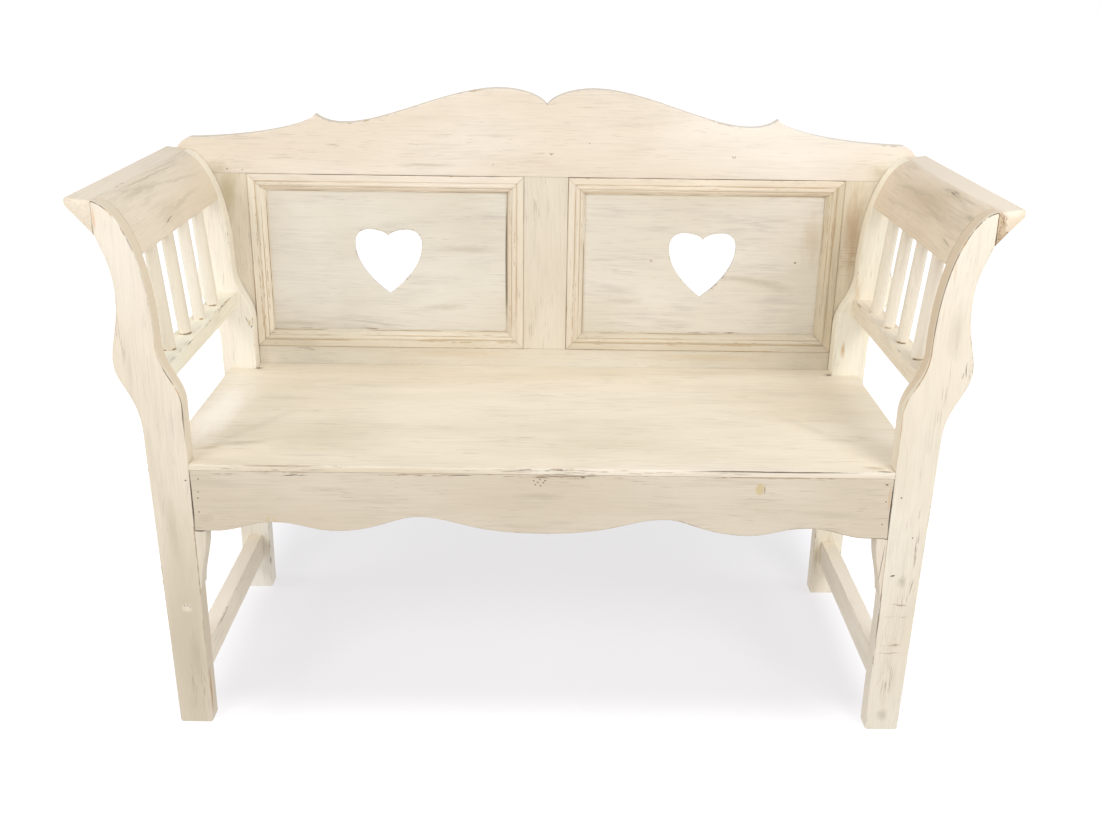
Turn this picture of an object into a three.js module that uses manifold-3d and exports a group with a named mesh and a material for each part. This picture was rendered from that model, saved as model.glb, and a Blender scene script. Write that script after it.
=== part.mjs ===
// A two-seat hall bench in painted pine: S-shaped end legs, rolled arms on round spindles,
// a scalloped front apron and a panelled back with two heart cut-outs.
// Millimetres. +X is to the right seen from the front, the front faces -Y, +Z is up.
// The origin is on the floor, below the middle of the bench.

import * as THREE from "three";
import { mergeVertices } from "three/addons/utils/BufferGeometryUtils.js";
import Module from "manifold-3d";

const wasm = await Module();
wasm.setup();

// Overall sizes
const armTipSpan = 1292;
const benchDepth = 494;
const backHeight = 928;
const seatHeight = 440;

// Fits between the joined pieces
const fit = 0.3;
const endGap = 0.6;
const cutOverrun = 5;

// End legs, each sawn from one plank
const armTipOverhang = 132.5;
const armTopDrop = 106;
const legThick = 30;
const footWidth = 51;
const footChamfer = 3;
const legCurveSteps = 9;

// Rolled arm rest
const armUndersideWidth = 33;
const armLowShare = 0.79;
const armTipRise = 4;
const armTipBlunt = 10;

// Bar below the arm, and the spindles that stand on it
const armRailWidth = 36;
const armRailThick = 29;
const armRailSetback = 27.5;
const armRailTopShare = 0.364;
const armRailTenon = { width: 18, height: 16, length: 14 };
const spindleCount = 4;
const spindleDiameter = 20;
const spindleFootDepth = 12;
const spindleHeadDepth = 14;
const spindleSides = 20;

// Low stretchers at the ends
const stretcherWidth = 26;
const stretcherHeight = 47;
const stretcherTop = 109;
const stretcherTenon = { width: 12, height: 30, length: 15 };

// Seat and its carcass
const seatThick = 10;
const seatSideOverlap = 46.5;
const apronThick = 22;
const apronHeight = 96.5;
const apronEndClearance = 1;
const apronTenon = { thick: 8, height: 46, length: 20 };
const apronCurveSteps = 8;
const sideRailThick = 24;
const sideRailHeight = 60;
const sideRailTenon = { width: 12, height: 36, length: 14 };
const bearerWidth = 44;
const bearerThick = 22;
const cornerBlockLeg = 58;
const cornerBlockHeight = 50;

// Bracket under each apron end
const bracketWidth = 16;
const bracketHeight = 96;

// Back frame and its thin panels
const frameThick = 24;
const bottomRailBelowSeat = 68;
const bottomRailAboveSeat = 32.5;
const crestHeight = 147;
const crestEndInset = 10;
const crestCurveSteps = 7;
const centreStileWidth = 76;
const outerStileWidth = 52;
const outerStileTopWidth = 78;
const grooveDepth = 8;
const grooveSetback = 11.7;
const panelThick = 6;
const panelEdgeInGroove = 6.5;

// Panel mouldings and hearts
const mouldingWidth = 30;
const mouldingHeight = 15;
const heartHeightShare = 0.373;
const heartWidthShare = 1.017;
const heartCurveSteps = 8;

// Outlines are lists of curves in shares of the sizes they follow: two handles and an end each.

// The leg above the seat: shares of the arm's overhang, and of the rise from seat to arm top.
const legOuterShares = [
  [0.453, 0.27, 0.694, 0.32, 0.694, 0.403],
  [0.694, 0.482, 0.589, 0.534, 0.589, 0.665],
  [0.589, 0.771, 0.679, 0.813, 0.728, 0.877],
];
const legTaperTopShares = [0.453, 0.126];
const legCoveShares = [[0.465, 0.982, 0.223, 0.794, 0.223, 0.484]];
const legKneeShares = [[0.223, 0.354, 0, 0.334, 0, 0.225]];

// The apron's lower edge from its end to the middle: shares of its half length and of its height.
const apronStartShares = [0.945, 0];
const apronShares = [
  [0.872, 0, 0.845, 0.156, 0.772, 0.156],
  [0.692, 0.156, 0.669, 0.021, 0.594, 0.021],
  [0.476, 0.021, 0.417, 0.275, 0.358, 0.275],
  [0.251, 0.275, 0.222, 0.016, 0, 0.016],
];

// The crest's top edge from the middle notch to its end: shares of its half span and height.
const crestNotchShares = [0, 0.823];
const crestShares = [
  [0.019, 0.933, 0.071, 1, 0.126, 1],
  [0.259, 1, 0.43, 0.592, 0.542, 0.592],
  [0.573, 0.592, 0.6, 0.624, 0.615, 0.684],
  [0.637, 0.552, 0.784, 0.425, 0.953, 0.408],
  [0.968, 0.4, 0.988, 0.325, 1, 0.211],
];

// The heart from its tip to its notch: shares of its half width and half height.
const heartTipShares = [0, -1];
const heartShares = [
  [0.34, -0.73, 1, -0.17, 1, 0.57],
  [1, 0.83, 0.82, 1, 0.58, 1],
  [0.31, 1, 0.07, 0.92, 0, 0.8],
];

// The bracket's inner edge from its top to its point: shares of its width and height.
const bracketShares = [[1, 0.55, 0.35, 0.45, 0.12, 0]];

// The moulding's section from the frame inwards: shares of its width and height.
const mouldingShares = [
  [0, 0],
  [0, 0.9],
  [0.05, 1],
  [0.36, 1],
  [0.4, 0.86],
  [0.45, 0.84],
  [0.5, 0.95],
  [0.58, 0.97],
  [0.66, 0.88],
  [0.69, 0.74],
  [0.73, 0.74],
  [0.78, 0.7],
  [0.88, 0.5],
  [0.93, 0.26],
  [1, 0.22],
  [1, 0],
];

// Wood finishes
const paintedPine = { color: "#e9ddc8", roughness: 0.62, metalness: 0 };
const panelPine = { color: "#d9cfba", roughness: 0.66, metalness: 0 };
const barePine = { color: "#d3b27d", roughness: 0.72, metalness: 0 };

// Places worked out from the sizes, from the front to the back
const frontFace = -benchDepth / 2;
const backFace = benchDepth / 2;
const frameFace = backFace - frameThick;
const frontLegBack = frontFace + legThick;
const rearLegFront = frameFace - legThick;
const apronBack = frontFace + apronThick;
const grooveNear = frameFace + grooveSetback;
const grooveFar = grooveNear + panelThick + 2 * fit;

// Places from the middle to the right
const legInner = armTipSpan / 2 - armTipOverhang;
const stileOuter = legInner + outerStileWidth;
const stileTopOuter = legInner + outerStileTopWidth;
const apronEnd = legInner - apronEndClearance;
const crestEnd = armTipSpan / 2 - crestEndInset;
const centreStileHalf = centreStileWidth / 2;
const armRailCentre = legInner + armRailSetback + armRailWidth / 2;

// Places from the floor up
const seatUnder = seatHeight - seatThick;
const apronLow = seatUnder - apronHeight;
const armTop = backHeight - armTopDrop;
const armRise = armTop - seatHeight;
const armRailTop = seatHeight + armRise * armRailTopShare;
const bottomRailLow = seatHeight - bottomRailBelowSeat;
const openingLow = seatHeight + bottomRailAboveSeat;
const openingHigh = backHeight - crestHeight;
const heartHeight = (openingHigh - openingLow) * heartHeightShare;
const heartWidth = heartHeight * heartWidthShare;

const bench = new THREE.Group();
const sides = [
  { name: "left", side: -1 },
  { name: "right", side: 1 },
];

// Turns a three.js geometry into a solid that can be joined and cut.
function toSolid(geometry) {
  const bare = geometry.clone();
  bare.deleteAttribute("normal");
  bare.deleteAttribute("uv");
  const merged = mergeVertices(bare);
  const vertProperties = Float32Array.from(merged.attributes.position.array);
  const triVerts = Uint32Array.from(merged.index.array);
  return new wasm.Manifold(new wasm.Mesh({ numProp: 3, vertProperties, triVerts }));
}

// Turns a cut solid back into a three.js geometry.
function toGeometry(solid) {
  const mesh = solid.getMesh();
  const geometry = new THREE.BufferGeometry();
  geometry.setAttribute("position", new THREE.BufferAttribute(mesh.vertProperties, 3));
  geometry.setIndex(new THREE.BufferAttribute(mesh.triVerts, 1));
  const flat = geometry.toNonIndexed();
  flat.computeVertexNormals();
  return flat;
}

// Cuts a base geometry with one list of geometries, then joins another list to it.
function shaped(base, cut, joined = []) {
  let solid = toSolid(base);
  for (const piece of cut) {
    solid = solid.subtract(toSolid(piece));
  }
  for (const piece of joined) {
    solid = solid.add(toSolid(piece));
  }
  return toGeometry(solid);
}

// Adds one named piece to the bench.
function addPiece(name, geometry, finish) {
  const mesh = new THREE.Mesh(geometry, new THREE.MeshStandardMaterial(finish));
  mesh.name = name;
  bench.add(mesh);
}

// Adds a piece built for the right-hand side on both sides, the left one mirrored.
function addPair(name, geometry, finish, suffix = "") {
  for (const { name: sideName, side } of sides) {
    addPiece(`${name}_${sideName}${suffix}`, side > 0 ? geometry : mirrored(geometry), finish);
  }
}

// Mirrors a geometry to the other side and turns its triangles to face out again.
function mirrored(geometry) {
  const flipped = geometry.index ? geometry.toNonIndexed() : geometry.clone();
  const place = flipped.attributes.position;
  const second = new THREE.Vector3();
  const third = new THREE.Vector3();
  for (let first = 0; first < place.count; first += 3) {
    second.fromBufferAttribute(place, first + 1);
    third.fromBufferAttribute(place, first + 2);
    place.setXYZ(first + 1, third.x, third.y, third.z);
    place.setXYZ(first + 2, second.x, second.y, second.z);
  }
  flipped.scale(-1, 1, 1);
  flipped.computeVertexNormals();
  return flipped;
}

// A box between two corners.
function block(low, high) {
  const size = high.map((value, axis) => value - low[axis]);
  const geometry = new THREE.BoxGeometry(...size);
  geometry.translate(...low.map((value, axis) => value + size[axis] / 2));
  return geometry;
}

// An outline in X and Z, given depth from one Y to another.
function plankXZ(shape, nearY, farY, curveSegments) {
  const depth = farY - nearY;
  const geometry = new THREE.ExtrudeGeometry(shape, { depth, bevelEnabled: false, curveSegments });
  geometry.rotateX(Math.PI / 2);
  geometry.translate(0, farY, 0);
  return geometry;
}

// An outline in X and Y, given height from one Z to another.
function plankXY(shape, lowZ, highZ) {
  const geometry = new THREE.ExtrudeGeometry(shape, { depth: highZ - lowZ, bevelEnabled: false });
  geometry.translate(0, 0, lowZ);
  return geometry;
}

// Adds curves given in shares to an outline, where place turns two shares into an x and a z.
function addCurves(path, curveShares, place) {
  for (const [firstX, firstZ, secondX, secondZ, endX, endZ] of curveShares) {
    path.bezierCurveTo(...place(firstX, firstZ), ...place(secondX, secondZ), ...place(endX, endZ));
  }
}

// The same curves run backwards, from the last end to the start.
function backwards(startShares, curveShares) {
  const starts = [startShares, ...curveShares.map(([, , , , endX, endZ]) => [endX, endZ])];
  const turned = curveShares.map(([firstX, firstZ, secondX, secondZ], index) => [
    secondX, secondZ, firstX, firstZ, ...starts[index],
  ]);
  return turned.reverse();
}

// The same curves on the other side of the middle.
function acrossMiddle(curveShares) {
  return curveShares.map(([firstX, firstZ, secondX, secondZ, endX, endZ]) => [
    -firstX, firstZ, -secondX, secondZ, -endX, endZ,
  ]);
}

// A place on the leg above the seat, from shares of the arm's overhang and of its rise.
function legPlace(shareX, shareZ) {
  return [legInner + armTipOverhang * shareX, seatHeight + armRise * shareZ];
}

// The coved edge that the legs and the arm rest share, from the arm's top down to the hip.
const coveTopShares = [legOuterShares.at(-1).at(-2), 1];
const coveTop = new THREE.Vector2(...legPlace(...coveTopShares));
const coveCurve = new THREE.CubicBezierCurve(
  coveTop,
  new THREE.Vector2(...legPlace(...legCoveShares[0].slice(0, 2))),
  new THREE.Vector2(...legPlace(...legCoveShares[0].slice(2, 4))),
  new THREE.Vector2(...legPlace(...legCoveShares[0].slice(4))),
);

// One end leg's outline: straight and tapered below the seat, S-shaped above it.
function legOutline() {
  const shape = new THREE.Shape();
  shape.moveTo(legInner + footChamfer, 0);
  shape.lineTo(legInner + footWidth - footChamfer, 0);
  shape.lineTo(legInner + footWidth, footChamfer);
  shape.lineTo(...legPlace(...legTaperTopShares));
  addCurves(shape, legOuterShares, legPlace);
  shape.lineTo(coveTop.x, coveTop.y);
  addCurves(shape, legCoveShares, legPlace);
  addCurves(shape, legKneeShares, legPlace);
  shape.lineTo(legInner, footChamfer);
  return shape;
}

// Bars that run front to back between the legs.
const endBars = [
  {
    name: "side_stretcher",
    centreX: legInner + footWidth / 2,
    centreZ: stretcherTop - stretcherHeight / 2,
    width: stretcherWidth,
    height: stretcherHeight,
    tenon: stretcherTenon,
    finish: paintedPine,
  },
  {
    name: "seat_side_rail",
    centreX: legInner + sideRailThick / 2,
    centreZ: seatUnder - sideRailHeight / 2,
    width: sideRailThick,
    height: sideRailHeight,
    tenon: sideRailTenon,
    finish: barePine,
  },
  {
    name: "arm_rail",
    centreX: armRailCentre,
    centreZ: armRailTop - armRailThick / 2,
    width: armRailWidth,
    height: armRailThick,
    tenon: armRailTenon,
    finish: paintedPine,
  },
];

// A bar's tenon at one shoulder, or with a clearance its mortise.
function barTenon(bar, shoulderY, towards, clearance) {
  const depth = bar.tenon.length + (clearance > 0 ? endGap : 0);
  const ends = [shoulderY + towards * depth, shoulderY - towards * cutOverrun];
  const halfWidth = bar.tenon.width / 2 + clearance;
  const halfHeight = bar.tenon.height / 2 + clearance;
  return block(
    [bar.centreX - halfWidth, Math.min(...ends), bar.centreZ - halfHeight],
    [bar.centreX + halfWidth, Math.max(...ends), bar.centreZ + halfHeight],
  );
}

// The apron's right-hand tenon, or with a clearance its mortise in the front leg.
function apronTenonBlock(clearance) {
  const middleY = (frontFace + apronBack) / 2;
  const middleZ = (apronLow + seatUnder) / 2;
  const halfThick = apronTenon.thick / 2 + clearance;
  const halfHeight = apronTenon.height / 2 + clearance;
  const tip = legInner + apronTenon.length + (clearance > 0 ? endGap : 0);
  return block(
    [apronEnd - cutOverrun, middleY - halfThick, middleZ - halfHeight],
    [tip, middleY + halfThick, middleZ + halfHeight],
  );
}

// Front and rear legs, mortised for the bars and, in front, for the apron.
function makeLegs() {
  const frontMortises = endBars.map((bar) => barTenon(bar, frontLegBack, -1, fit));
  const rearMortises = endBars.map((bar) => barTenon(bar, rearLegFront, 1, fit));
  const frontPlank = plankXZ(legOutline(), frontFace, frontLegBack, legCurveSteps);
  const rearPlank = plankXZ(legOutline(), rearLegFront, frameFace, legCurveSteps);
  addPair("front_leg", shaped(frontPlank, [...frontMortises, apronTenonBlock(fit)]), paintedPine);
  addPair("rear_leg", shaped(rearPlank, rearMortises), paintedPine);
}

// The share of the cove curve at which it meets the arm's lower edge, found by halving.
function coveLowShare() {
  const armLow = legPlace(0, armLowShare)[1];
  const halvings = 40;
  let high = 0;
  let low = 1;
  for (let turn = 0; turn < halvings; turn += 1) {
    const middle = (low + high) / 2;
    if (coveCurve.getPoint(middle).y > armLow) {
      high = middle;
    } else {
      low = middle;
    }
  }
  return high;
}

// The control points of the cove's upper part, from its top down to the arm's lower edge.
function upperCove() {
  const share = coveLowShare();
  const points = [coveCurve.v0, coveCurve.v1, coveCurve.v2, coveCurve.v3];
  const first = points.slice(1).map((point, index) => points[index].clone().lerp(point, share));
  const second = first.slice(1).map((point, index) => first[index].clone().lerp(point, share));
  return [points[0], first[0], second[0], second[0].clone().lerp(second[1], share)];
}

const coveUpper = upperCove();
const armLowPoint = coveUpper[3];

// Spindles run from the middle of the arm rail's top to the middle of the arm's underside.
const spindleRadius = spindleDiameter / 2;
const spindleFoot = new THREE.Vector2(armRailCentre, armRailTop);
const spindleHead = new THREE.Vector2(armLowPoint.x + armUndersideWidth / 2, armLowPoint.y);
const spindleLine = spindleHead.clone().sub(spindleFoot);
const spindleEnd = spindleLine.length() + spindleHeadDepth;
const spindleIndexes = Array.from({ length: spindleCount }, (unused, index) => index);

// A round rod on one spindle's leaning line, between two distances from its foot.
function spindleRod(index, radius, from, to) {
  const bay = (rearLegFront - frontLegBack) / (spindleCount + 1);
  const geometry = new THREE.CylinderGeometry(radius, radius, to - from, spindleSides);
  geometry.translate(0, (from + to) / 2, 0);
  geometry.rotateX(Math.PI / 2);
  geometry.rotateY(Math.atan2(spindleLine.x, spindleLine.y));
  geometry.translate(spindleFoot.x, frontLegBack + bay * (index + 1), spindleFoot.y);
  return geometry;
}

// The spindles' sockets in one piece, between two distances from the foot.
function spindleSockets(from, to) {
  return spindleIndexes.map((index) => spindleRod(index, spindleRadius + fit, from, to));
}

// Stretchers, side rails and arm rails between the legs, with stub tenons.
function makeEndBars() {
  for (const bar of endBars) {
    const body = block(
      [bar.centreX - bar.width / 2, frontLegBack + fit, bar.centreZ - bar.height / 2],
      [bar.centreX + bar.width / 2, rearLegFront - fit, bar.centreZ + bar.height / 2],
    );
    const tenons = [barTenon(bar, frontLegBack, -1, 0), barTenon(bar, rearLegFront, 1, 0)];
    const sockets = bar.name === "arm_rail"
      ? spindleSockets(-spindleFootDepth - endGap, spindleRadius + cutOverrun)
      : [];
    addPair(bar.name, shaped(body, sockets, tenons), bar.finish);
  }
}

// The rolled arm rest: a coved board between the legs whose outer part runs over their tops.
function makeArmRests() {
  const tipX = armTipSpan / 2;
  const tipZ = armTop + armTipRise;
  const topCutLow = legPlace(...legOuterShares.at(-1).slice(4))[1];
  const shape = new THREE.Shape();
  shape.moveTo(armLowPoint.x, armLowPoint.y);
  shape.lineTo(armLowPoint.x + armUndersideWidth, armLowPoint.y);
  shape.lineTo(coveTop.x, topCutLow);
  shape.lineTo(tipX, tipZ - armTipBlunt);
  shape.lineTo(tipX, tipZ);
  shape.lineTo(coveTop.x, coveTop.y);
  shape.bezierCurveTo(...coveUpper.slice(1).flatMap((point) => [point.x, point.y]));
  const notchLow = armLowPoint.y - cutOverrun;
  const notchHigh = tipZ + cutOverrun;
  const frontNotch = block(
    [legInner, frontFace - cutOverrun, notchLow],
    [coveTop.x + fit, frontLegBack + fit, notchHigh],
  );
  const rearNotch = block(
    [legInner, rearLegFront - fit, notchLow],
    [coveTop.x + fit, frameFace + cutOverrun, notchHigh],
  );
  const socketFrom = spindleLine.length() - spindleRadius - cutOverrun;
  const sockets = spindleSockets(socketFrom, spindleEnd + endGap);
  const board = plankXZ(shape, frontFace, frameFace - fit, legCurveSteps);
  addPair("arm_rest", shaped(board, [frontNotch, rearNotch, ...sockets]), paintedPine);
}

// Plain spindles, standing in the arm rails and leaning out under the arms.
function makeSpindles() {
  for (const index of spindleIndexes) {
    const rod = spindleRod(index, spindleRadius, -spindleFootDepth, spindleEnd);
    addPair("arm_spindle", rod, paintedPine, `_${index + 1}`);
  }
}

// The seat board, notched round the four legs.
function makeSeatBoard() {
  const edge = legInner + seatSideOverlap;
  const notch = legInner - fit;
  const right = [
    [notch, frontFace],
    [notch, frontLegBack + fit],
    [edge, frontLegBack + fit],
    [edge, rearLegFront - fit],
    [notch, rearLegFront - fit],
    [notch, frameFace - fit],
  ];
  const left = right.map(([x, y]) => [-x, y]).reverse();
  const shape = new THREE.Shape([...right, ...left].map(([x, y]) => new THREE.Vector2(x, y)));
  addPiece("seat_board", plankXY(shape, seatUnder, seatHeight), paintedPine);
}

// The front apron: straight above, scalloped below, with a tenon in each front leg.
function makeApron() {
  const place = (shareX, shareZ) => [apronEnd * shareX, apronLow + apronHeight * shareZ];
  const shape = new THREE.Shape();
  shape.moveTo(-apronEnd, apronLow);
  shape.lineTo(-apronEnd, seatUnder);
  shape.lineTo(apronEnd, seatUnder);
  shape.lineTo(apronEnd, apronLow);
  shape.lineTo(...place(...apronStartShares));
  addCurves(shape, apronShares, place);
  addCurves(shape, acrossMiddle(backwards(apronStartShares, apronShares)), place);
  const board = plankXZ(shape, frontFace, apronBack, apronCurveSteps);
  const tenon = apronTenonBlock(0);
  addPiece("front_apron", shaped(board, [], [tenon, mirrored(tenon)]), paintedPine);
}

// The glued brackets that carry the apron's ends, fading into the legs' inner edges.
function makeBrackets() {
  const top = apronLow - fit;
  const inner = legInner - fit;
  const place = (shareX, shareZ) => [inner - bracketWidth * shareX, top - bracketHeight * (1 - shareZ)];
  const shape = new THREE.Shape();
  shape.moveTo(inner, top - bracketHeight);
  shape.lineTo(inner, top);
  shape.lineTo(inner - bracketWidth, top);
  addCurves(shape, bracketShares, place);
  addPair("front_leg_bracket", plankXZ(shape, frontFace, frontLegBack, legCurveSteps), paintedPine);
}

// Two bearers and four corner blocks under the seat board.
function makeSeatCarcass() {
  const carcassFront = apronBack + fit;
  const carcassBack = frameFace - fit;
  const bearerMiddle = legInner / 3;
  const bearer = block(
    [bearerMiddle - bearerWidth / 2, carcassFront, seatUnder - bearerThick],
    [bearerMiddle + bearerWidth / 2, carcassBack, seatUnder],
  );
  addPair("seat_bearer", bearer, barePine);
  const corners = [
    { end: "front", y: carcassFront, inward: 1 },
    { end: "rear", y: carcassBack, inward: -1 },
  ];
  const inner = legInner - fit;
  for (const { end, y, inward } of corners) {
    const shape = new THREE.Shape([
      new THREE.Vector2(inner, y),
      new THREE.Vector2(inner, y + inward * cornerBlockLeg),
      new THREE.Vector2(inner - cornerBlockLeg, y),
    ]);
    addPair(`corner_block_${end}`, plankXY(shape, seatUnder - cornerBlockHeight, seatUnder), barePine);
  }
}

// A groove in a piece of the back, between two corners in X and Z.
function groove(lowX, highX, lowZ, highZ) {
  return block([lowX, grooveNear, lowZ], [highX, grooveFar, highZ]);
}

// A stub tenon that fits the grooves, between two corners in X and Z.
function stub(lowX, highX, lowZ, highZ) {
  return block([lowX, grooveNear + fit, lowZ], [highX, grooveFar - fit, highZ]);
}

// The shaped crest rail, grooved below for the stiles and panels.
function makeCrestRail() {
  const place = (shareX, shareZ) => [crestEnd * shareX, openingHigh + crestHeight * shareZ];
  const lower = openingHigh + fit;
  const shape = new THREE.Shape();
  shape.moveTo(crestEnd, lower);
  shape.lineTo(...place(...crestShares.at(-1).slice(4)));
  addCurves(shape, backwards(crestNotchShares, crestShares), place);
  addCurves(shape, acrossMiddle(crestShares), place);
  shape.lineTo(-crestEnd, lower);
  const plank = plankXZ(shape, frameFace, backFace, crestCurveSteps);
  const slot = groove(-stileOuter, stileOuter, openingHigh - cutOverrun, openingHigh + grooveDepth);
  addPiece("back_crest_rail", shaped(plank, [slot]), paintedPine);
}

// Outer stiles, centre stile and bottom rail, grooved for the panels and joined by stub tenons.
function makeStilesAndRail() {
  const stubReach = grooveDepth - fit;
  const grooveTop = openingHigh + cutOverrun;
  // The outer stile widens upwards, so that it fills the space behind the leg's cove.
  const outline = new THREE.Shape([
    new THREE.Vector2(legInner, bottomRailLow),
    new THREE.Vector2(stileOuter, bottomRailLow),
    new THREE.Vector2(stileTopOuter, openingHigh),
    new THREE.Vector2(legInner, openingHigh),
  ]);
  const stile = plankXZ(outline, frameFace + fit, backFace, 1);
  const stileSlot = groove(
    legInner - cutOverrun, legInner + grooveDepth,
    bottomRailLow - cutOverrun, grooveTop,
  );
  const stileStub = stub(
    legInner + grooveDepth + fit, stileOuter - fit,
    openingHigh - cutOverrun, openingHigh + stubReach,
  );
  addPair("back_stile", shaped(stile, [stileSlot], [stileStub]), paintedPine);

  const centre = block(
    [-centreStileHalf, frameFace, openingLow + fit],
    [centreStileHalf, backFace, openingHigh],
  );
  const centreSlot = groove(
    centreStileHalf - grooveDepth, centreStileHalf + cutOverrun,
    openingLow - cutOverrun, grooveTop,
  );
  const stubHalf = centreStileHalf - grooveDepth - fit;
  const centreStubs = [
    stub(-stubHalf, stubHalf, openingHigh - cutOverrun, openingHigh + stubReach),
    stub(-stubHalf, stubHalf, openingLow - stubReach, openingLow + cutOverrun),
  ];
  addPiece("back_centre_stile", shaped(centre, [centreSlot, mirrored(centreSlot)], centreStubs), paintedPine);

  const railEnd = legInner - fit;
  const rail = block([-railEnd, frameFace, bottomRailLow], [railEnd, backFace, openingLow]);
  const railSlot = groove(-legInner, legInner, openingLow - grooveDepth, openingLow + cutOverrun);
  const railStub = stub(
    railEnd - cutOverrun, legInner + stubReach,
    bottomRailLow, openingLow - grooveDepth - fit,
  );
  addPiece("back_bottom_rail", shaped(rail, [railSlot], [railStub, mirrored(railStub)]), paintedPine);
}

// The right-hand opening of the back frame and its middle.
const openingMiddle = {
  x: (centreStileHalf + legInner) / 2,
  z: (openingLow + openingHigh) / 2,
};

// The thin panels, held loose in the grooves, each with a heart cut through it.
function makePanels() {
  const lowX = centreStileHalf - panelEdgeInGroove;
  const highX = legInner + panelEdgeInGroove;
  const lowZ = openingLow - panelEdgeInGroove;
  const highZ = openingHigh + panelEdgeInGroove;
  const shape = new THREE.Shape();
  shape.moveTo(lowX, lowZ);
  shape.lineTo(highX, lowZ);
  shape.lineTo(highX, highZ);
  shape.lineTo(lowX, highZ);
  const place = (shareX, shareZ) => [
    openingMiddle.x + heartWidth / 2 * shareX,
    openingMiddle.z + heartHeight / 2 * shareZ,
  ];
  const heart = new THREE.Path();
  heart.moveTo(...place(...heartTipShares));
  addCurves(heart, heartShares, place);
  addCurves(heart, acrossMiddle(backwards(heartTipShares, heartShares)), place);
  shape.holes.push(heart);
  addPair("back_panel", plankXZ(shape, grooveNear + fit, grooveFar - fit, heartCurveSteps), panelPine);
}

// One moulding length along X with mitred ends: its outer edge is low and its face looks forward.
function mitredStrip(length) {
  const section = mouldingShares.map(
    ([across, up]) => new THREE.Vector2(across * (mouldingWidth - fit), up * mouldingHeight),
  );
  const points = [];
  for (const end of [-1, 1]) {
    for (const { x: across, y: up } of section) {
      points.push(end * (length / 2 - across - 2 * fit), -up, across + fit);
    }
  }
  const count = section.length;
  const index = [];
  for (const [a, b, c] of THREE.ShapeUtils.triangulateShape(section, [])) {
    index.push(a, c, b);
    index.push(count + a, count + b, count + c);
  }
  for (let corner = 0; corner < count; corner += 1) {
    const next = (corner + 1) % count;
    index.push(corner, count + corner, count + next);
    index.push(corner, count + next, next);
  }
  const geometry = new THREE.BufferGeometry();
  geometry.setAttribute("position", new THREE.Float32BufferAttribute(points, 3));
  geometry.setIndex(index);
  const flat = geometry.toNonIndexed();
  flat.computeVertexNormals();
  return flat;
}

// Four mitred mouldings in each opening, planted on the panel and a little proud of the frame.
function makeMouldings() {
  const wide = legInner - centreStileHalf;
  const high = openingHigh - openingLow;
  const strips = [
    { name: "bottom", length: wide, turn: 0, x: openingMiddle.x, z: openingLow },
    { name: "outer", length: high, turn: -Math.PI / 2, x: legInner, z: openingMiddle.z },
    { name: "top", length: wide, turn: Math.PI, x: openingMiddle.x, z: openingHigh },
    { name: "inner", length: high, turn: Math.PI / 2, x: centreStileHalf, z: openingMiddle.z },
  ];
  for (const { name, length, turn, x, z } of strips) {
    const strip = mitredStrip(length);
    strip.rotateY(turn);
    strip.translate(x, grooveNear + fit, z);
    addPair(`moulding_${name}`, strip, paintedPine);
  }
}

makeLegs();
makeEndBars();
makeArmRests();
makeSpindles();
makeSeatBoard();
makeApron();
makeBrackets();
makeSeatCarcass();
makeCrestRail();
makeStilesAndRail();
makePanels();
makeMouldings();

export default bench;
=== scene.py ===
"""Looks of a two-seat hall bench in whitewashed pine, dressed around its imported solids.

Sizes are millimetres in the row frame: +X to the right seen from the front, the front faces -Y,
+Z up, the origin on the floor below the middle. Meshes are written in metres.
"""

import logging
import math
from dataclasses import dataclass, replace
from enum import Enum
from typing import Any, Iterable, Optional, Sequence, Union

import bmesh
import bpy
import numpy as np
from mathutils import Matrix, Vector


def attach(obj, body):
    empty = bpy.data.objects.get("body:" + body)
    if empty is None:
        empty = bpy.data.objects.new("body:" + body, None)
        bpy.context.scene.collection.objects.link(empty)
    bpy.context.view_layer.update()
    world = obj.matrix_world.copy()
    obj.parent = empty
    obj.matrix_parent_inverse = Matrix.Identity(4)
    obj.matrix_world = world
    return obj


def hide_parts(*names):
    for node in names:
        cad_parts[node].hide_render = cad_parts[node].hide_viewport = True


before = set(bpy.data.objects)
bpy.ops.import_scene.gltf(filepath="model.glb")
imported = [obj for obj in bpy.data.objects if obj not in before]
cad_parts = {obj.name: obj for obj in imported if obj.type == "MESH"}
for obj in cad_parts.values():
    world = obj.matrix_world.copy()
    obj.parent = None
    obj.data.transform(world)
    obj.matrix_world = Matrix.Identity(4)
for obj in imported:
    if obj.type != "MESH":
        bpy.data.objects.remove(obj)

LOG = logging.getLogger("hall_bench")
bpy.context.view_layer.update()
MM = 0.001
ROOT = "root"
# Vertices nearer than this many metres become one.
SAME_PLACE = 0.00001

Numbers = Sequence[float]
Shares = Sequence[Numbers]
Colour = tuple[float, float, float]
Socket = bpy.types.NodeSocket
Value = Union[float, int, bool, str, Numbers, Socket]
MarkRow = tuple[Any, ...]


@dataclass(frozen=True)
class BenchSizes:
    """Places that more than one sub-assembly is built from."""

    front: float = -247.0
    back: float = 247.0
    frame_face: float = 223.0
    front_leg_back: float = -217.0
    rear_leg_front: float = 193.0
    leg_inner: float = 513.5
    seat_top: float = 440.0
    seat_under: float = 430.0
    arm_top: float = 822.0
    arm_overhang: float = 132.5
    bottom_rail_low: float = 372.0
    opening_low: float = 472.5
    opening_high: float = 781.0
    stile_outer: float = 565.5
    stile_top_outer: float = 591.5
    centre_stile_half: float = 38.0
    panel_front: float = 235.0
    panel_back: float = 241.0
    fit: float = 0.3

    def leg_place(self, shares: np.ndarray) -> np.ndarray:
        """Turns shares of the arm's overhang and of its rise above the seat into X and Z."""
        scale = np.array([self.arm_overhang, self.arm_top - self.seat_top])
        return np.array([self.leg_inner, self.seat_top]) + np.asarray(shares, float) * scale


SIZES = BenchSizes()


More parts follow.
